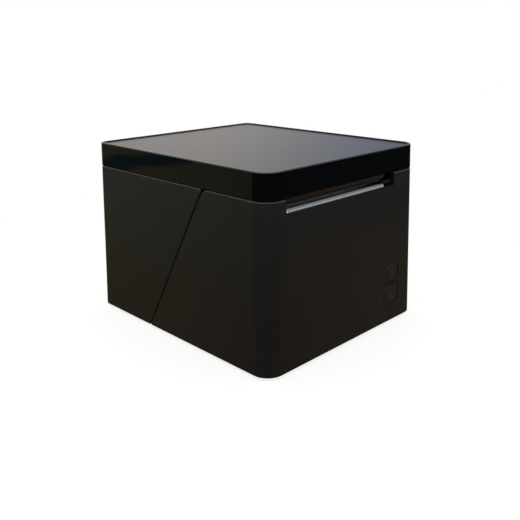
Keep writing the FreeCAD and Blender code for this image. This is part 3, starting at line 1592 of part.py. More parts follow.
def button_board():
    """Small board with two push switches, screwed to the posts of the front case."""
    body = new_body("button_board")
    board = sketch(body, "switch_board", "XZ_Plane", switch_board_y)
    rectangle(board, switch_board_left, switch_board_right, switch_board_z, switch_board_top)
    pad(body, board, d.board_thickness)
    x = (button_left + button_right) / 2
    cases = sketch(body, "switch_cases", "XZ_Plane", switch_board_y - d.switch_height)
    plunger_y = switch_board_y - d.switch_height - d.plunger_height
    plungers = sketch(body, "switch_plungers", "XZ_Plane", plunger_y)
    half = d.switch_size / 2
    for name in BUTTON_ROWS:
        z = button_z(name) + d.button_height / 2
        rectangle(cases, x - half, x + half, z - half, z + half)
        circle(plungers, x, z, d.plunger_diameter / 2)
    pad(body, cases, d.switch_height)
    pad(body, plungers, d.plunger_height)
    return body


# Main board on the base tray, with the four sockets that face the rear

def main_board():
    body = new_body("main_board")
    board = sketch(body, "board_sheet", "XY_Plane", board_z)
    rectangle(board, main_board_left, main_board_right, main_board_front, main_board_back)
    pad(body, board, d.board_thickness)
    holes = sketch(body, "board_holes", "XY_Plane", board_z)
    for x, y in BOARD_PLACES:
        circle(holes, x, y, d.screw_diameter / 2 + d.fit_gap)
    cut(body, holes, d.board_thickness)
    chips = sketch(body, "board_chips", "XY_Plane", socket_z)
    chip = d.main_board_depth / 6
    chip_y = main_board_front + chip * 1.5
    for step, scale in ((-4, 1.0), (0, 1.3), (3, 0.7)):
        x = socket_x("usb_socket") + chip * step
        rectangle(chips, x - chip * scale, x + chip * scale, chip_y - chip * 0.8, chip_y + chip * 0.8)
    pad(body, chips, d.board_thickness)
    return body


def socket(name):
    """Square housing on the board whose mouth is open at the rear."""
    body = new_body(name)
    _, span, tall = SOCKETS[name]
    x = socket_x(name)
    face_y = back - d.socket_recess
    housing = sketch(body, name + "_housing", "XZ_Plane", face_y - d.socket_depth)
    rectangle(housing, x - span / 2, x + span / 2, socket_z, socket_z + tall)
    pad(body, housing, d.socket_depth)
    mouth_depth = d.socket_depth * 0.7
    mouth = sketch(body, name + "_mouth", "XZ_Plane", face_y - mouth_depth)
    side = d.socket_wall
    middle_z = socket_z + tall / 2
    if name == "power_socket":
        circle(mouth, x, middle_z, d.power_plug_diameter / 2)
    else:
        rectangle(mouth, x - span / 2 + side, x + span / 2 - side,
                  socket_z + side, socket_z + tall - side)
    cut(body, mouth, mouth_depth)
    if name == "usb_socket":
        tongue = sketch(body, "usb_tongue", "XZ_Plane", face_y - mouth_depth)
        rectangle(tongue, x - span / 4, x + span / 4, middle_z - side, middle_z + side)
        pad(body, tongue, mouth_depth - side)
    if name == "power_socket":
        pins = sketch(body, "power_pins", "XZ_Plane", face_y - mouth_depth)
        ring = d.power_plug_diameter / 4
        for turn in (90, 210, 330):
            way = math.radians(turn)
            circle(pins, x + ring * math.cos(way), middle_z + ring * math.sin(way), side / 2)
        pad(body, pins, mouth_depth - side)
    if name in ("lan_socket", "drawer_socket"):
        key = sketch(body, name + "_key", "XZ_Plane", face_y - mouth_depth)
        rectangle(key, x - span / 6, x + span / 6, socket_z + side / 2, socket_z + side * 1.2)
        cut(body, key, mouth_depth)
    return body


pieces = [
    front_case(),
    rear_case(),
    base_tray(),
    rubber_feet(),
    screws("case_screws", BOSS_PLACES, base_z, False, d.screw_grip),
    lid_cover(),
    lid_panel(),
    hinge_pins(),
    lid_liner(),
    screws("liner_screws", LINER_SCREWS, liner_z - d.screw_head_height, False,
           d.liner_thickness + d.lid_top / 2),
    fixed_blade(),
    platen_shaft(),
    platen_roller(),
    platen_bushes(),
    platen_gear(),
    idler_gear(),
    idler_post(),
    feed_pinion(),
    feed_motor(),
    print_chassis(),
    screws("chassis_screws", CHASSIS_PLACES, chassis_z + d.sheet, True, d.sheet + d.pilot_depth),
    print_head(),
    heat_sink(),
    pivot_rod(),
    head_spring(),
    moving_blade(),
    blade_carrier(),
    blade_guide(),
    cutter_shaft(),
    cutter_gear(),
    cutter_pinion(),
    cutter_motor(),
    tear_bar(),
    paper_ramp(),
    paper_sensor(),
    paper_bucket(),
    latch_lever(),
    latch_pin(),
    button("feed_button"),
    button("power_button"),
    status_lens(),
    button_board(),
    main_board(),
    screws("board_screws", BOARD_PLACES, socket_z, True, d.board_thickness + d.standoff),
] + [socket(name) for name in SOCKETS]

doc.recompute()
for item in doc.Objects:
    if "Invalid" in item.State or "Error" in item.State:
        raise ValueError(f"{item.Label} failed: {item.State}")
for piece in pieces:
    if piece.Shape.isNull() or not piece.Shape.isValid():
        raise ValueError(f"{piece.Label} has no valid shape")
os.makedirs("parts", exist_ok=True)
for piece in pieces:
    piece.Shape.exportStep(f"parts/{piece.Label}.step")
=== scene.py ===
import math

import bmesh
import bpy
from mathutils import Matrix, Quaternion, Vector


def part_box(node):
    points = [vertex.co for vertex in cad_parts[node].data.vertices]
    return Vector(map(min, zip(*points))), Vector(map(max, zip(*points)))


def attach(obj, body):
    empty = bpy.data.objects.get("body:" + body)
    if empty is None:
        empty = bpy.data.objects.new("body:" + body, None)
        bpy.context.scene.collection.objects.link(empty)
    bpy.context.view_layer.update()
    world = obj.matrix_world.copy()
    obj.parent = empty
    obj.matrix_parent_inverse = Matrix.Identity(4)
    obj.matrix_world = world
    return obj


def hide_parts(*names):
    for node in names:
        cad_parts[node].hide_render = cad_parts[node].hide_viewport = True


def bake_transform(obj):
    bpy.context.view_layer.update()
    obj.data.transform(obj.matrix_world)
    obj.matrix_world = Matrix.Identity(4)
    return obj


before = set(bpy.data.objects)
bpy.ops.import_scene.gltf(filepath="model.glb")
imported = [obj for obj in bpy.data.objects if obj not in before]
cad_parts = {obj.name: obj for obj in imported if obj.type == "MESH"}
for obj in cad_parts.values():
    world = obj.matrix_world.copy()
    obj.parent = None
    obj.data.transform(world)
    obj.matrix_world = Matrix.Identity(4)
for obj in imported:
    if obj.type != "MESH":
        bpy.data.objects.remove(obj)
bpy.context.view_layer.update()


# Base tray: the floor of the printer, moulded in black ABS.
# It closes both case shells from below and carries the main board and the print chassis.

MM = 0.001


def linear(code):
    """An sRGB hex colour as linear red, green, blue and alpha."""
    parts = [int(code[at:at + 2], 16) / 255 for at in (1, 3, 5)]
    return [p / 12.92 if p <= 0.04045 else ((p + 0.055) / 1.055) ** 2.4 for p in parts] + [1.0]


def node(tree, kind, inputs=None, **settings):
    """Add a node with its settings; an input is a value, or the socket that feeds it."""
    made = tree.nodes.new(kind)
    for name, value in settings.items():
        setattr(made, name, value)
    for name, value in (inputs or {}).items():
        if isinstance(value, bpy.types.NodeSocket):
            tree.links.new(value, made.inputs[name])
        else:
            made.inputs[name].default_value = value
    return made


def blank_finish(name, **values):
    """A material with its shader set, and the place on the piece that its patterns follow."""
    made = bpy.data.materials.new(name)
    made.use_nodes = True
    tree = made.node_tree
    shader = tree.nodes["Principled BSDF"]
    for socket, value in values.items():
        shader.inputs[socket.replace("_", " ")].default_value = value
    place = node(tree, "ShaderNodeTexCoord").outputs["Object"]
    return made, tree, shader, place


def textured_moulding(name, dark, light, roughness, grain, relief, cloud, shine=0.3):
    """Plastic or rubber from a textured mould; grain, relief and cloud are in millimetres."""
    made, tree, shader, place = blank_finish(name, Specular_IOR_Level=shine)
    clouds = node(tree, "ShaderNodeTexNoise", {"Vector": place, "Scale": 1 / (cloud * MM), "Detail": 3.0})
    grains = node(tree, "ShaderNodeTexNoise", {"Vector": place, "Scale": 1 / (grain * MM), "Detail": 2.0})
    tone = node(tree, "ShaderNodeMix", {0: clouds.outputs["Fac"], 6: linear(dark), 7: linear(light)},
                data_type="RGBA")
    tree.links.new(tone.outputs[2], shader.inputs["Base Color"])
    bump = node(tree, "ShaderNodeBump", {"Height": grains.outputs["Fac"], "Distance": relief * MM,
                                         "Strength": 0.5})
    tree.links.new(bump.outputs["Normal"], shader.inputs["Normal"])
    sheen = node(tree, "ShaderNodeMapRange", {"Value": grains.outputs["Fac"],
                                              "From Min": 0.3, "From Max": 0.7,
                                              "To Min": roughness - 0.05, "To Max": roughness + 0.05})
    tree.links.new(sheen.outputs["Result"], shader.inputs["Roughness"])
    return made


def finish(material, *names):
    """Give CAD nodes their material."""
    for name in names:
        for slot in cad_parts[name].material_slots:
            slot.material = material


# Black ABS from a spark-textured mould: matte and even, with a grain just coarse enough to show
finish(textured_moulding("moulded_abs_tray_black", "#161614", "#1e1d1b", 0.6, 0.5, 0.05, 18), "base_tray")


# Rubber feet: four soft discs pressed into round recesses under the tray.
# Moulded black rubber, dull all over, with a fine skin from the mould.

# Moulded rubber: nearly no highlight, a little greyer where it is rubbed
rubber = textured_moulding("moulded_rubber_black", "#131313", "#1f1e1d", 0.85, 0.4, 0.05, 5, 0.2)
finish(rubber, "rubber_feet")


# Case shells: a front and a rear shell of black ABS that meet at a slanting seam on each side.
# Both come from fine textured moulds, and screws from below hold them to the tray.


def paint_edge_highlight(material, highlight_colour):
    """Paint a highlight on the slanting edge breaks of a shell: faces that slope upwards get a lighter
    colour.
    """
    tree = material.node_tree
    shader = tree.nodes["Principled BSDF"]
    facing = node(tree, "ShaderNodeNewGeometry").outputs["True Normal"]
    upward = node(tree, "ShaderNodeSeparateXYZ", {0: facing}).outputs["Z"]
    slant = node(tree, "ShaderNodeMapRange", {"Value": upward, "From Min": 0.4, "From Max": 0.6})
    level = node(tree, "ShaderNodeMath", {0: upward, 1: 0.9}, operation="LESS_THAN")
    # Painted highlight mask: faces that slope upwards at about 45 degrees, but not flat tops
    edge = node(tree, "ShaderNodeMath", {0: slant.outputs[0], 1: level.outputs[0]}, operation="MULTIPLY")
    bare = shader.inputs["Base Color"].links[0].from_socket
    tone = node(tree, "ShaderNodeMix", {0: edge.outputs[0], 6: bare, 7: linear(highlight_colour)}, data_type="RGBA")
    tree.links.new(tone.outputs[2], shader.inputs["Base Color"])
    return material


# Front shell, satin black with a warm cast; rear shell, from a coarser mould, a shade greyer
front_abs = textured_moulding("moulded_abs_front_black", "#0e0d0b", "#13120f", 0.4, 0.45, 0.03, 34, 0.5)
# Both shells get the painted highlight, a lighter colour on their upward slanting edge breaks
finish(paint_edge_highlight(front_abs, "#36342f"), "front_case")
rear_abs = textured_moulding("moulded_abs_rear_black", "#0a0a09", "#0f0f0d", 0.42, 0.5, 0.035, 34, 0.5)
finish(paint_edge_highlight(rear_abs, "#36342f"), "rear_case")


# Screws: self-tapping screws with a pan head and a cross recess, cold headed from steel wire.
# Four sets with one head hold the case, the lid liner, the print chassis and the main board.

# Zinc plate: a cool grey with pale and dark spangles, brighter on the flats
plated, tree, shader, place = blank_finish("zinc_plated_steel", Metallic=1.0)
spangle = node(tree, "ShaderNodeTexVoronoi", {"Vector": place, "Scale": 1 / (2.5 * MM)})
tone = node(tree, "ShaderNodeMix", {0: spangle.outputs["Distance"], 6: linear("#bcbfc2"),
                                    7: linear("#a2a5a9")}, data_type="RGBA")
tree.links.new(tone.outputs[2], shader.inputs["Base Color"])
gloss = node(tree, "ShaderNodeMapRange", {"Value": spangle.outputs["Distance"],
                                          "To Min": 0.24, "To Max": 0.4})
tree.links.new(gloss.outputs["Result"], shader.inputs["Roughness"])

SCREW_SIZES = {"Head Diameter": 5.6 * MM, "Head Height": 1.2 * MM, "Shank Diameter": 3.0 * MM,
               "Recess Width": 0.8 * MM}


def node_group(name, sizes):
    """A Geometry Nodes tree that takes points, sizes and a finish."""
    tree = bpy.data.node_groups.new(name, "GeometryNodeTree")
    tree.interface.new_socket("Points", in_out="INPUT", socket_type="NodeSocketGeometry")
    for size, value in sizes.items():
        kind = "NodeSocketInt" if isinstance(value, int) else "NodeSocketFloat"
        kind = "NodeSocketVector" if isinstance(value, tuple) else kind
        tree.interface.new_socket(size, in_out="INPUT", socket_type=kind)
    tree.interface.new_socket("Finish", in_out="INPUT", socket_type="NodeSocketMaterial")
    tree.interface.new_socket("Result", in_out="OUTPUT", socket_type="NodeSocketGeometry")
    return tree, node(tree, "NodeGroupInput").outputs


def close_group(tree, instances, material):
    """End a tree with real geometry that has its finish."""
    real = node(tree, "GeometryNodeRealizeInstances", {"Geometry": instances})
    dressed = node(tree, "GeometryNodeSetMaterial", {"Geometry": real.outputs[0], "Material": material})
    node(tree, "NodeGroupOutput", {"Result": dressed.outputs[0]})


def grow(name, tree, points, sizes, material):
    """Run a tree on points and keep the result as a plain mesh object."""
    seed_mesh = bpy.data.meshes.new(name + "_points")
    seed_mesh.from_pydata([tuple(point) for point in points], [], [])
    seed = bpy.data.objects.new(name + "_points", seed_mesh)
    bpy.context.collection.objects.link(seed)
    run = seed.modifiers.new("grow", "NODES")
    run.node_group = tree
    values = dict(sizes, Finish=material)
    for socket in tree.interface.items_tree:
        if socket.in_out == "INPUT" and socket.name in values:
            run[socket.identifier] = values[socket.name]
    ready = seed.evaluated_get(bpy.context.evaluated_depsgraph_get())
    mesh = bpy.data.meshes.new_from_object(ready)
    mesh.name = name
    piece = bpy.data.objects.new(name, mesh)
    bpy.context.collection.objects.link(piece)
    seed.modifiers.remove(run)
    bpy.data.objects.remove(seed)
    return piece


screw, given = node_group("pan_head_screw", dict(SCREW_SIZES, **{"Shank Length": 9 * MM,
                                                                 "Turn": (0.0, 0.0, 0.0)}))
half_head = node(screw, "ShaderNodeMath", {0: given["Head Diameter"], 1: 0.5}, operation="MULTIPLY")
crown = node(screw, "ShaderNodeMath", {0: given["Head Diameter"], 1: 0.38}, operation="MULTIPLY")
half_shank = node(screw, "ShaderNodeMath", {0: given["Shank Diameter"], 1: 0.5}, operation="MULTIPLY")
head = node(screw, "GeometryNodeMeshCone", {"Vertices": 40, "Radius Top": crown.outputs[0],
                                            "Radius Bottom": half_head.outputs[0],
                                            "Depth": given["Head Height"]})
arm = node(screw, "ShaderNodeMath", {0: given["Head Diameter"], 1: 0.56}, operation="MULTIPLY")
top = node(screw, "ShaderNodeCombineXYZ", {"Z": given["Head Height"]})
across = node(screw, "ShaderNodeCombineXYZ", {"X": arm.outputs[0], "Y": given["Recess Width"],
                                              "Z": given["Head Height"]})
along = node(screw, "ShaderNodeCombineXYZ", {"X": given["Recess Width"], "Y": arm.outputs[0],
                                             "Z": given["Head Height"]})
recessed = head.outputs["Mesh"]
for size in (across, along):
    bar = node(screw, "GeometryNodeMeshCube", {"Size": size.outputs[0]})
    bar = node(screw, "GeometryNodeTransform", {"Geometry": bar.outputs["Mesh"],
                                                "Translation": top.outputs[0]})
    recessed = node(screw, "GeometryNodeMeshBoolean", {"Mesh 1": recessed, "Mesh 2": bar.outputs[0]},
                    operation="DIFFERENCE").outputs["Mesh"]
shank = node(screw, "GeometryNodeMeshCylinder", {"Vertices": 24, "Radius": half_shank.outputs[0],
                                                 "Depth": given["Shank Length"]})
sunk = node(screw, "ShaderNodeMath", {0: given["Shank Length"], 1: -0.5}, operation="MULTIPLY")
drop = node(screw, "ShaderNodeCombineXYZ", {"Z": sunk.outputs[0]})
shank = node(screw, "GeometryNodeTransform", {"Geometry": shank.outputs["Mesh"],
                                              "Translation": drop.outputs[0]})
whole = node(screw, "GeometryNodeJoinGeometry", {"Geometry": shank.outputs[0]})
screw.links.new(recessed, whole.inputs["Geometry"])
set_down = node(screw, "GeometryNodeInstanceOnPoints", {"Points": given["Points"],
                                                        "Instance": whole.outputs[0]})
turned = node(screw, "FunctionNodeEulerToRotation", {"Euler": given["Turn"]})
screw.links.new(turned.outputs[0], set_down.inputs["Rotation"])
close_group(screw, set_down.outputs[0], given["Finish"])


def solid_boxes(name):
    """Lowest and highest corner of each separate solid of a CAD node."""
    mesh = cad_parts[name].data
    boss = {}

    def leader(key):
        while boss.setdefault(key, key) != key:
            key = boss[key]
        return key

    weld = 0.01 * MM
    keys = [tuple(round(v / weld) for v in vertex.co) for vertex in mesh.vertices]
    for face in mesh.polygons:
        first = leader(keys[face.vertices[0]])
        for corner in face.vertices[1:]:
            boss[leader(keys[corner])] = first
    groups = {}
    for key, vertex in zip(keys, mesh.vertices):
        groups.setdefault(leader(key), []).append(vertex.co)
    return [[[pick(point[axis] for point in points) for axis in range(3)] for pick in (min, max)]
            for points in groups.values()]


for name, body, head_up in (("case_screws", "case", False), ("liner_screws", "lid", False),
                            ("chassis_screws", "case", True), ("board_screws", "case", True)):
    places = []
    for low, high in solid_boxes(name):
        head_z = high[2] - SCREW_SIZES["Head Height"] if head_up else low[2] + SCREW_SIZES["Head Height"]
        places.append(((low[0] + high[0]) / 2, (low[1] + high[1]) / 2, head_z))
    length = high[2] - low[2] - SCREW_SIZES["Head Height"]
    sizes = dict(SCREW_SIZES, **{"Shank Length": length, "Turn": (0.0 if head_up else math.pi, 0.0, 0.0)})
    screws = grow(name + "_headed", screw, places, sizes, plated)
    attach(screws, body)
    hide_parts(name)


# Boards: a main board behind the mechanism and a small one behind the buttons.
# Glass fibre laminate with copper tracks under a green solder mask.

# Solder mask: glossy green lacquer, darker over bare laminate, lighter where copper lies under it
mask, tree, shader, place = blank_finish("solder_mask_green", Roughness=0.28)
tracks = node(tree, "ShaderNodeTexBrick", {"Vector": place, "Scale": 1 / (9 * MM),
                                           "Color1": linear("#0d3a22"), "Color2": linear("#114a2b"),
                                           "Mortar": linear("#1b6a40"), "Mortar Size": 0.03}, offset=0.37)
tree.links.new(tracks.outputs["Color"], shader.inputs["Base Color"])
finish(mask, "main_board", "button_board")


# Sockets: power, cash drawer, data and network sockets soldered along the rear edge of the board.
# Two are black nylon mouldings, two have drawn shells of tinned steel.

# Black nylon: semi-matte, with flow marks from the mould
nylon = textured_moulding("moulded_nylon_black", "#151515", "#202020", 0.48, 0.5, 0.02, 6)
finish(nylon, "power_socket", "drawer_socket")


def drawn_metal(name, dark, light, roughness, streak=0.3, run=14):
    """Metal with fine marks along X; the width and the run of a mark are in millimetres."""
    made, tree, shader, place = blank_finish(name, Metallic=1.0, Roughness=roughness)
    stretch = (1 / (run * MM), 1 / (streak * MM), 1 / (streak * MM))
    stretched = node(tree, "ShaderNodeMapping", {"Vector": place, "Scale": stretch})
    marks = node(tree, "ShaderNodeTexNoise", {"Vector": stretched.outputs["Vector"], "Scale": 1.0,
                                              "Detail": 3.0})
    tone = node(tree, "ShaderNodeMix", {0: marks.outputs["Fac"], 6: linear(dark), 7: linear(light)},
                data_type="RGBA")
    tree.links.new(tone.outputs[2], shader.inputs["Base Color"])
    bump = node(tree, "ShaderNodeBump", {"Height": marks.outputs["Fac"], "Distance": 0.02 * MM,
                                         "Strength": 0.4})
    tree.links.new(bump.outputs["Normal"], shader.inputs["Normal"])
    return made


# Tinned shell: bright and a little yellow, with faint drawing marks
finish(drawn_metal("tinned_steel_shell", "#a6a7a5", "#c3c4c1", 0.28), "usb_socket", "lan_socket")

# Gold flash on the spring contacts: warm and bright
gilt = drawn_metal("gold_flashed_contact", "#b98f3e", "#dcb765", 0.25, 0.2, 4)

CONTACT = {"Width": 0.45 * MM, "Length": 8.0 * MM, "Lean": (math.radians(-12), 0.0, 0.0)}
contact, given = node_group("spring_contact", CONTACT)
wire = node(contact, "ShaderNodeCombineXYZ", {"X": given["Width"], "Y": given["Length"],
                                              "Z": given["Width"]})
wire = node(contact, "GeometryNodeMeshCube", {"Size": wire.outputs[0]})
row = node(contact, "GeometryNodeInstanceOnPoints", {"Points": given["Points"],
                                                     "Instance": wire.outputs["Mesh"]})
lean = node(contact, "FunctionNodeEulerToRotation", {"Euler": given["Lean"]})
contact.links.new(lean.outputs[0], row.inputs["Rotation"])
close_group(contact, row.outputs[0], given["Finish"])
contact_pitch = 1.02 * MM
contact_y, contact_z = 68.5 * MM, 16.8 * MM
for name, mouth_x, count in (("lan_socket", 27.5 * MM, 8), ("drawer_socket", -22.5 * MM, 6)):
    places = [(mouth_x + (at - (count - 1) / 2) * contact_pitch, contact_y, contact_z)
              for at in range(count)]
    contacts = grow(name + "_contacts", contact, places, CONTACT, gilt)
    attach(contacts, "case")


# Print chassis and blade guide: bent sheet steel, zinc plated, screwed to pillars of the tray.
# The chassis carries the head, the cutter, the latch and both motors.

finish(plated, "print_chassis", "blade_guide")


# Shafts, pins and posts: drawn steel bar, cut to length and ground where it runs.
# The idler's post is riveted in the chassis, and the platen's shaft runs in bushes.

# Ground bar: bright, with fine rings round it from the grinding wheel
ground, tree, shader, place = blank_finish("ground_steel_bar", Metallic=1.0, Roughness=0.2)
ring_scale = (1 / (0.25 * MM), 1 / (9 * MM), 1 / (9 * MM))
rings = node(tree, "ShaderNodeMapping", {"Vector": place, "Scale": ring_scale})
rings = node(tree, "ShaderNodeTexNoise", {"Vector": rings.outputs["Vector"], "Scale": 1.0, "Detail": 2.0})
tone = node(tree, "ShaderNodeMix", {0: rings.outputs["Fac"], 6: linear("#a0a3a7"), 7: linear("#c6c9cd")},
            data_type="RGBA")
tree.links.new(tone.outputs[2], shader.inputs["Base Color"])
finish(ground, "hinge_pins", "platen_shaft", "idler_post", "pivot_rod", "cutter_shaft", "latch_pin")


# Motors: a flat stepper for the paper and a small motor for the cutter, in drawn steel cans.
# Each sits on a side plate of the chassis, with its boss through the plate.

# Plated can: duller than the screws, with marks from deep drawing
finish(drawn_metal("plated_motor_can", "#85888c", "#9da0a4", 0.38), "feed_motor", "cutter_motor")


# Gears: spur gears moulded in natural acetal, on their shafts or running on a post.
# One train turns the platen, and the other moves the cutter.

# Natural acetal: ivory white, waxy, with light going a little way in
acetal = textured_moulding("moulded_acetal_natural", "#d8d4c6", "#e6e3d8", 0.38, 0.8, 0.01, 8, 0.5)
acetal.node_tree.nodes["Principled BSDF"].inputs["Subsurface Weight"].default_value = 0.15
acetal.node_tree.nodes["Principled BSDF"].inputs["Subsurface Radius"].default_value = (MM, MM, 0.8 * MM)
finish(acetal, "platen_gear", "idler_gear", "feed_pinion", "cutter_gear", "cutter_pinion")


# Print head: a glazed ceramic board with a line of heaters, glued to an aluminium heat sink.
# A blued spring leaf on the cross bar of the chassis presses it up to the platen.

# Glazed ceramic: smooth cream glaze; the sink shows extrusion lines; the spring is blue-grey
finish(textured_moulding("glazed_ceramic", "#c9c3b2", "#d8d3c4", 0.16, 3.0, 0.004, 10, 0.5), "print_head")
finish(drawn_metal("extruded_aluminium", "#b9bcbf", "#d0d2d4", 0.4), "heat_sink")
blued = drawn_metal("blued_spring_steel", "#4a4c52", "#6a6d74", 0.35)

# The spring's long edges are cut into short pieces, between its foot on the chassis and its top under the
# head
weld, long_edge = 0.001 * MM, 3 * MM
leaf = bmesh.new()
leaf.from_mesh(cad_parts["head_spring"].data)
bmesh.ops.remove_doubles(leaf, verts=leaf.verts, dist=weld)
flexing = [edge for edge in leaf.edges if edge.calc_length() > long_edge]
bmesh.ops.subdivide_edges(leaf, edges=flexing, cuts=5, use_grid_fill=True)
leaf_mesh = bpy.data.meshes.new("head_spring_leaf")
leaf.to_mesh(leaf_mesh)
leaf.free()
leaf_mesh.materials.clear()
leaf_mesh.materials.append(blued)
spring = bpy.data.objects.new("head_spring_leaf", leaf_mesh)
bpy.context.collection.objects.link(spring)
low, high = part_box("head_spring")
foot_hold, top_hold = 0.6 * MM, 0.5 * MM
top = Vector((low[0], low[1], high[2] - top_hold))
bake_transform(spring)
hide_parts("head_spring")


# Cutter: a moving blade on an acetal carrier with racks, and a fixed blade in the lid.
# Both blades are hardened strip, ground on the edge.

# Ground blade: bright, with grinding marks along it; dark filled acetal: satin charcoal
finish(drawn_metal("ground_blade_steel", "#9a9ea2", "#bfc2c6", 0.22), "fixed_blade", "moving_blade")
dark_acetal = textured_moulding("filled_acetal_dark", "#262627", "#323233", 0.45, 0.8, 0.01, 6, 0.4)
finish(dark_acetal, "blade_carrier", "platen_bushes")


# Paper bucket and ramp: the drop-in well for the roll, and the ramp from it to the head.
# Moulded in plain black ABS; the paper sensor looks out through the ramp.

# Inner ABS: plain mould finish, smoother than the outside; sensor plastic: glossy, nearly black violet
inner = textured_moulding("moulded_abs_inner_black", "#181819", "#212122", 0.5, 0.6, 0.03, 22)
finish(inner, "paper_bucket", "paper_ramp", "lid_liner")
sensor_window = textured_moulding("infrared_pass_plastic", "#150f16", "#1d151e", 0.12, 1.5, 0.004, 4, 0.5)
finish(sensor_window, "paper_sensor")


# Tear bar: a stamped stainless strip with ground teeth along its front edge.
# It lies on the sloping bed behind the notch of the front shell.

low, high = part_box("tear_bar")

# Stamped stainless: mid grey brushed along its length, with a painted highlight, a lighter colour, along
# the ground tips
stainless = drawn_metal("brushed_stainless_strip", "#676b6f", "#8a8e92", 0.3, 0.25, 10)
tree = stainless.node_tree
shader = tree.nodes["Principled BSDF"]
tip_highlight_height = 0.75 * MM
place = node(tree, "ShaderNodeTexCoord").outputs["Object"]
height = node(tree, "ShaderNodeSeparateXYZ", {0: place}).outputs["Z"]
# Painted highlight: the lowest band of the strip, along its tips, gets a lighter colour
tip_highlight = node(tree, "ShaderNodeMath", {0: height, 1: low[2] + tip_highlight_height}, operation="LESS_THAN")
brushed = shader.inputs["Base Color"].links[0].from_socket
tone = node(tree, "ShaderNodeMix", {0: tip_highlight.outputs[0], 6: brushed, 7: linear("#c8cac8")}, data_type="RGBA")
tree.links.new(tone.outputs[2], shader.inputs["Base Color"])

pitch = 2.0 * MM
tooth_count = round((high[0] - low[0]) / pitch)
bed_rise, strip, grind = 0.7, 0.85 * MM, 1.5 * MM
facet_y, shoulder_y, tip_half = low[1] + 1.05 * MM, low[1] + 0.8 * MM, 0.3 * MM
tooth = bmesh.new()
sections = []
edge_line = ((-pitch / 2, shoulder_y), (-tip_half, low[1]), (tip_half, low[1]), (pitch / 2, shoulder_y))
for x, front_y in edge_line:
    under = low[2] + bed_rise * (front_y - low[1])
    facet_z = low[2] + strip + bed_rise * (facet_y - low[1])
    fall = (facet_y - front_y) / (facet_y - low[1])
    profile = [(front_y, under), (front_y, facet_z - grind * fall), (facet_y, facet_z), (high[1], high[2]),
               (high[1], high[2] - strip)]
    sections.append([tooth.verts.new((x, y, z)) for y, z in profile])
for one, other in zip(sections, sections[1:]):
    for at in range(5):
        after = (at + 1) % 5
        tooth.faces.new((one[at], one[after], other[after], other[at]))
tooth.faces.new(sections[0][::-1])
tooth.faces.new(sections[-1])
bmesh.ops.recalc_face_normals(tooth, faces=tooth.faces)
tooth_mesh = bpy.data.meshes.new("tear_tooth")
tooth.to_mesh(tooth_mesh)
tooth.free()
tooth_piece = bpy.data.objects.new("tear_tooth", tooth_mesh)
bpy.context.collection.objects.link(tooth_piece)

TEETH = {"Tooth Count": tooth_count, "Tooth Pitch": pitch}
teeth, given = node_group("tear_teeth", TEETH)
step = node(teeth, "ShaderNodeCombineXYZ", {"X": given["Tooth Pitch"]})
line = node(teeth, "GeometryNodeMeshLine", {"Count": given["Tooth Count"], "Offset": step.outputs[0]})
start = node(teeth, "GeometryNodeInstanceOnPoints", {"Points": given["Points"],
                                                     "Instance": line.outputs[0]})
spread = node(teeth, "GeometryNodeRealizeInstances", {"Geometry": start.outputs[0]})
shape = node(teeth, "GeometryNodeObjectInfo", {"Object": tooth_piece})
set_down = node(teeth, "GeometryNodeInstanceOnPoints", {"Points": spread.outputs[0],
                                                        "Instance": shape.outputs["Geometry"]})
close_group(teeth, set_down.outputs[0], given["Finish"])
bar = grow("tear_bar_toothed", teeth, [(low[0] + pitch / 2, 0, 0)], TEETH, stainless)
bpy.data.objects.remove(tooth_piece)
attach(bar, "case")
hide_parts("tear_bar")


# Cover latch: a lever of sheet steel on a pin, with a tab for the finger beside the tear bar.
# It is stamped, bent and coated black.

# Black coating: satin, with a faint orange peel
coated = textured_moulding("black_coated_steel", "#151517", "#1e1e20", 0.36, 0.5, 0.01, 6, 0.4)
finish(coated, "latch_lever")


# Buttons: two caps that slide in the front shell on flanges, with a sign printed on each.
# Moulded in the same textured black ABS as the shell; the upper feeds paper, the lower is the power key.

# Cap plastic: like the shell, a touch smoother from use
finish(textured_moulding("moulded_abs_button_black", "#0f0e0c", "#141310", 0.38, 0.45, 0.025, 12, 0.5),
       "feed_button", "power_button")

# Pad print: thin grey ink, only a little lighter than the cap
ink = textured_moulding("pad_print_grey", "#35342f", "#3e3d38", 0.5, 0.3, 0.005, 2, 0.2)


def printed_sign(name, body, over, shapes):
    """Flat ink on a button cap; each shape is a closed line in millimetres from the cap's middle."""
    low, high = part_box(over)
    middle_x, middle_z = (low[0] + high[0]) / 2, (low[2] + high[2]) / 2
    back_y, face_y = low[1] + 0.01 * MM, low[1] - 0.03 * MM
    sign = bmesh.new()
    for shape in shapes:
        rings = [[sign.verts.new((middle_x + x * MM, y, middle_z + z * MM)) for x, z in shape]
                 for y in (back_y, face_y)]
        sign.faces.new(rings[1])
        sign.faces.new(rings[0][::-1])
        for at in range(len(shape)):
            after = (at + 1) % len(shape)
            sign.faces.new((rings[0][at], rings[0][after], rings[1][after], rings[1][at]))
    bmesh.ops.recalc_face_normals(sign, faces=sign.faces)
    mesh = bpy.data.meshes.new(name)
    sign.to_mesh(mesh)
    sign.free()
    mesh.materials.append(ink)
    piece = bpy.data.objects.new(name, mesh)
    bpy.context.collection.objects.link(piece)
    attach(piece, body)


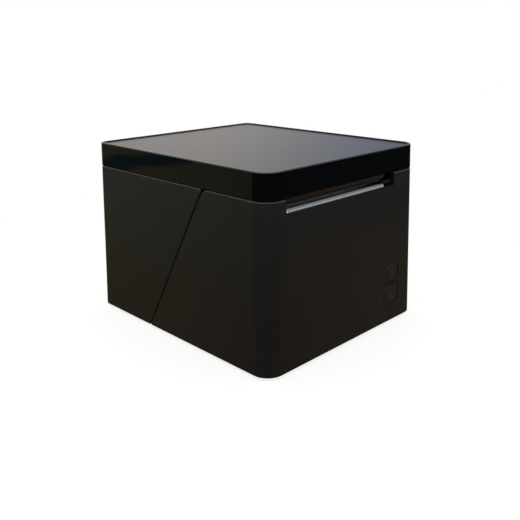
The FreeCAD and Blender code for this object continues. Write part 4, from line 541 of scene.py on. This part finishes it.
arc = [math.radians(angle) for angle in range(125, 416, 10)]
outer_radius, inner_radius = 2.3, 1.8
power_ring = [(outer_radius * math.cos(a), outer_radius * math.sin(a)) for a in arc]
power_ring += [(inner_radius * math.cos(a), inner_radius * math.sin(a)) for a in reversed(arc)]
printed_sign("power_sign", "power_key", "power_button",
             [power_ring, [(-0.27, 0.6), (0.27, 0.6), (0.27, 2.7), (-0.27, 2.7)]])
printed_sign("feed_sign", "feed_key", "feed_button",
             [[(-2.2, -2.2), (2.2, -2.2), (2.2, -1.7), (-2.2, -1.7)],
              [(-0.3, -0.9), (0.3, -0.9), (0.3, 0.9), (1.4, 0.9), (0.0, 2.5), (-1.4, 0.9), (-0.3, 0.9)]])


# Status light: a round acrylic rod that leads light from the button board to the front.
# Moulded in smoked acrylic, with a collar behind the wall of the front shell.

# Smoked acrylic: a glossy dark grey, faintly cloudy
smoked, tree, shader, place = blank_finish("smoked_acrylic", Specular_IOR_Level=0.4)
flecks = node(tree, "ShaderNodeTexNoise", {"Vector": place, "Scale": 1 / (1.2 * MM)})
tone = node(tree, "ShaderNodeMix", {0: flecks.outputs["Fac"], 6: linear("#1b1c1a"), 7: linear("#252623")},
            data_type="RGBA")
tree.links.new(tone.outputs[2], shader.inputs["Base Color"])
haze = node(tree, "ShaderNodeMapRange", {"Value": flecks.outputs["Fac"], "To Min": 0.08, "To Max": 0.2})
tree.links.new(haze.outputs["Result"], shader.inputs["Roughness"])
finish(smoked, "status_lens")


# Lid: a cover of polished black ABS with a thin raised rim, hinged on two pins at the back.
# A mirror mould makes it glossy; a satin sheet is let into the top inside the rim.

# Polished ABS: deep black whose reflections waver over faint sink marks, with a breath of dust
piano, tree, shader, place = blank_finish("polished_abs_black", Specular_IOR_Level=0.5)
swell = node(tree, "ShaderNodeTexNoise", {"Vector": place, "Scale": 1 / (26 * MM), "Detail": 1.0})
bump = node(tree, "ShaderNodeBump", {"Height": swell.outputs["Fac"], "Distance": 0.5 * MM, "Strength": 0.6})
tree.links.new(bump.outputs["Normal"], shader.inputs["Normal"])
dust = node(tree, "ShaderNodeTexNoise", {"Vector": place, "Scale": 1 / (6 * MM), "Detail": 6.0})
tone = node(tree, "ShaderNodeMix", {0: dust.outputs["Fac"], 6: linear("#040506"), 7: linear("#08090a")},
            data_type="RGBA")
tree.links.new(tone.outputs[2], shader.inputs["Base Color"])
smear = node(tree, "ShaderNodeMapRange", {"Value": dust.outputs["Fac"], "From Min": 0.45, "From Max": 0.8,
                                          "To Min": 0.04, "To Max": 0.1})
tree.links.new(smear.outputs["Result"], shader.inputs["Roughness"])
finish(piano, "lid_cover")

# Satin sheet: black with a soft sheen that carries a blurred picture of the room
satin = textured_moulding("satin_sheet_black", "#101011", "#161617", 0.24, 0.35, 0.006, 40, 0.5)
finish(satin, "lid_panel")


# Platen: a steel shaft with a rubber sleeve, in bushes on the lid liner.
# The sleeve is ground round, so that it feeds the paper evenly.

# Ground silicone rubber: soft matte charcoal with fine grinding marks
sleeve = textured_moulding("ground_silicone_rubber", "#19191b", "#232326", 0.7, 0.3, 0.02, 6)
finish(sleeve, "platen_roller")


# Studio: a white floor and a white surround, one wide soft box overhead.
# A dark carpet beyond the floor paper and a grey wall are glowing sheets that show only in reflections, as
# painted reflections of a room.


def seen_directly(tree):
    """One for a ray from the camera, from a reflection or through glass, and zero for other light."""
    ray = node(tree, "ShaderNodeLightPath").outputs
    seen = node(tree, "ShaderNodeMath", {0: ray["Is Camera Ray"], 1: ray["Is Glossy Ray"]},
                operation="MAXIMUM")
    seen = node(tree, "ShaderNodeMath", {0: seen.outputs[0], 1: ray["Is Transmission Ray"]},
                operation="MAXIMUM")
    return seen.outputs[0]


world = bpy.data.worlds.new("white_studio")
bpy.context.scene.world = world
world.use_nodes = True
tree = world.node_tree
tree.nodes.clear()
seen = seen_directly(tree)
white = node(tree, "ShaderNodeBackground", {"Color": (1, 1, 1, 1), "Strength": 1.0})
soft = node(tree, "ShaderNodeBackground", {"Color": linear("#fffdf8"), "Strength": 0.8})
both = node(tree, "ShaderNodeMixShader", {0: seen, 1: soft.outputs[0], 2: white.outputs[0]})
node(tree, "ShaderNodeOutputWorld", {"Surface": both.outputs[0]})


def stage_sheet(name, corners, faces):
    """A flat piece of the studio with a bare material; its tree is returned to be filled."""
    mesh = bpy.data.meshes.new(name)
    mesh.from_pydata(corners, [], faces)
    sheet = bpy.data.objects.new(name, mesh)
    bpy.context.collection.objects.link(sheet)
    made = bpy.data.materials.new(name + "_surface")
    made.use_nodes = True
    made.node_tree.nodes.clear()
    mesh.materials.append(made)
    return sheet, made.node_tree


# Floor paper: white to the eye and in reflections, and a little darker in the object's shadow
floor_corners = [(-6, -6, 0), (6, -6, 0), (6, 6, 0), (-6, 6, 0)]
tree = stage_sheet("studio_floor", floor_corners, [(0, 1, 2, 3)])[1]
seen = seen_directly(tree)
place = node(tree, "ShaderNodeTexCoord").outputs["Object"]
far = node(tree, "ShaderNodeVectorMath", {0: place}, operation="LENGTH")
near = node(tree, "ShaderNodeMapRange", {"Value": far.outputs["Value"], "From Min": 0.12, "From Max": 0.32,
                                         "To Min": 0.0, "To Max": 1.0}, interpolation_type="SMOOTHSTEP")
pale = node(tree, "ShaderNodeBsdfDiffuse", {"Color": (0.8, 0.8, 0.8, 1)})
shade = node(tree, "ShaderNodeBsdfDiffuse", {"Color": (0.26, 0.26, 0.26, 1)})
lift = node(tree, "ShaderNodeEmission", {"Color": (1, 1, 1, 1), "Strength": 0.8})
shaded = node(tree, "ShaderNodeAddShader", {0: lift.outputs[0], 1: shade.outputs[0]})
clear = node(tree, "ShaderNodeEmission", {"Color": (1, 1, 1, 1), "Strength": 1.0})
paper = node(tree, "ShaderNodeMixShader", {0: near.outputs[0], 1: shaded.outputs[0], 2: clear.outputs[0]})
both = node(tree, "ShaderNodeMixShader", {0: seen, 1: pale.outputs[0], 2: paper.outputs[0]})
node(tree, "ShaderNodeOutputMaterial", {"Surface": both.outputs[0]})

# Carpet: a glowing sheet that paints the reflection of a dark room, with wavy olive bands on the left, seen
# only in reflections.
# It is warmer close to the printer, and darkest towards the near corner.
# A window in it behind the printer lets the sockets show the white paper.
across, along = (-5.0, -0.06, 0.2, 5.0), (-5.0, 0.06, 0.26, 5.0)
weave = [(x, y, 0.5 * MM) for y in along for x in across]
strips = [(at, at + 1, at + 5, at + 4) for at in (0, 1, 2, 4, 6, 8, 9, 10)]
reflection_sheet, tree = stage_sheet("studio_carpet", weave, strips)
place = node(tree, "ShaderNodeTexCoord").outputs["Object"]
band_spacing, dark_band_y = 360 * MM, 495 * MM
waves = node(tree, "ShaderNodeTexWave", {"Vector": place, "Scale": math.pi / (10 * band_spacing),
                                         "Distortion": 1.2, "Detail": 1.0, "Detail Scale": 1.6,
                                         "Phase Offset": -2 * math.pi * dark_band_y / band_spacing},
             bands_direction="Y")
waves = node(tree, "ShaderNodeMapRange", {"Value": waves.outputs["Fac"],
                                          "From Min": 0.06, "From Max": 0.24})
side = node(tree, "ShaderNodeSeparateXYZ", {0: place}).outputs
leftward = node(tree, "ShaderNodeMath", {0: side["Y"], 1: side["X"]}, operation="SUBTRACT")
left = node(tree, "ShaderNodeMapRange", {"Value": leftward.outputs[0], "From Min": 0.0, "From Max": 0.4})
spot = node(tree, "ShaderNodeMath", {0: waves.outputs[0], 1: left.outputs[0]}, operation="MULTIPLY")
deep = node(tree, "ShaderNodeMix", {0: left.outputs[0], 6: linear("#1b2226"), 7: linear("#2b3c47")},
            data_type="RGBA")
tone = node(tree, "ShaderNodeMix", {0: spot.outputs[0], 6: deep.outputs[2], 7: linear("#6d674f")},
            data_type="RGBA")
warm = node(tree, "ShaderNodeMix", {0: left.outputs[0], 6: linear("#665342"), 7: linear("#6b653a")},
            data_type="RGBA")
far = node(tree, "ShaderNodeVectorMath", {0: place}, operation="LENGTH")
near = node(tree, "ShaderNodeMapRange", {"Value": far.outputs["Value"], "From Min": 0.24, "From Max": 0.36,
                                         "To Min": 1.0, "To Max": 0.0}, interpolation_type="SMOOTHSTEP")
tone = node(tree, "ShaderNodeMix", {0: near.outputs[0], 6: tone.outputs[2], 7: warm.outputs[2]},
            data_type="RGBA")
inward = node(tree, "ShaderNodeMath", {0: side["X"], 1: side["Y"]}, operation="ADD")
open_side = node(tree, "ShaderNodeMapRange", {"Value": inward.outputs[0],
                                              "From Min": -0.2, "From Max": -0.1})
tone = node(tree, "ShaderNodeMix", {0: open_side.outputs[0], 6: linear("#15191b"), 7: tone.outputs[2]},
            data_type="RGBA")
# Painted reflection: the sheet glows in these colours, though it is no lamp
dark = node(tree, "ShaderNodeEmission", {"Color": tone.outputs[2], "Strength": 1.0})
node(tree, "ShaderNodeOutputMaterial", {"Surface": dark.outputs[0]})

# Wall: a glowing sheet that paints a reflection, warm white on the left, cool grey on the right, seen only
# in reflections
wall_corners = [(-1.5, 6, 0), (6, -1.5, 0), (6, -1.5, 4), (-1.5, 6, 4)]
wall, tree = stage_sheet("studio_wall", wall_corners, [(0, 1, 2, 3)])
place = node(tree, "ShaderNodeTexCoord").outputs["Object"]
side = node(tree, "ShaderNodeSeparateXYZ", {0: place})
fade = node(tree, "ShaderNodeMapRange", {"Value": side.outputs["X"], "From Min": 1.95, "From Max": 2.9},
            interpolation_type="SMOOTHSTEP")
tone = node(tree, "ShaderNodeMix", {0: fade.outputs[0], 6: linear("#e3ddda"), 7: linear("#9aa6ba")},
            data_type="RGBA")
glow = node(tree, "ShaderNodeEmission", {"Color": tone.outputs[2], "Strength": 1.0})
node(tree, "ShaderNodeOutputMaterial", {"Surface": glow.outputs[0]})

for sheet in (reflection_sheet, wall):
    sheet.visible_camera = False
    sheet.visible_diffuse = False
    sheet.visible_transmission = False
    sheet.visible_volume_scatter = False
    sheet.visible_shadow = False

# Soft box: wide enough that the shadow stays faint
box_light = bpy.data.lights.new("overhead_box", "AREA")
box_light.shape = "RECTANGLE"
box_light.size, box_light.size_y = 0.9, 0.9
box_light.energy = 3.0
box = bpy.data.objects.new("overhead_box", box_light)
bpy.context.collection.objects.link(box)
box.location = (-0.15, -0.1, 1.0)

# Camera: a normal lens from the front left, nearly level, with its picture shifted down to the printer
lens = bpy.data.cameras.new("photo_camera")
lens.sensor_width = 36
lens.lens = 46.56
lens.shift_y = -0.25488
camera = bpy.data.objects.new("photo_camera", lens)
bpy.context.collection.objects.link(camera)
camera.location = (-0.29108, -0.29977, 0.17313)
yaw, pitch_down, roll = math.radians(44.65), math.radians(-7.60), math.radians(-0.496)
level = math.cos(pitch_down)
ahead = Vector((math.sin(yaw) * level, math.cos(yaw) * level, math.sin(pitch_down)))
camera.rotation_mode = "QUATERNION"
camera.rotation_quaternion = ahead.to_track_quat("-Z", "Y") @ Quaternion((0, 0, 1), roll)
bpy.context.scene.camera = camera
bpy.context.scene.view_settings.view_transform = "Standard"
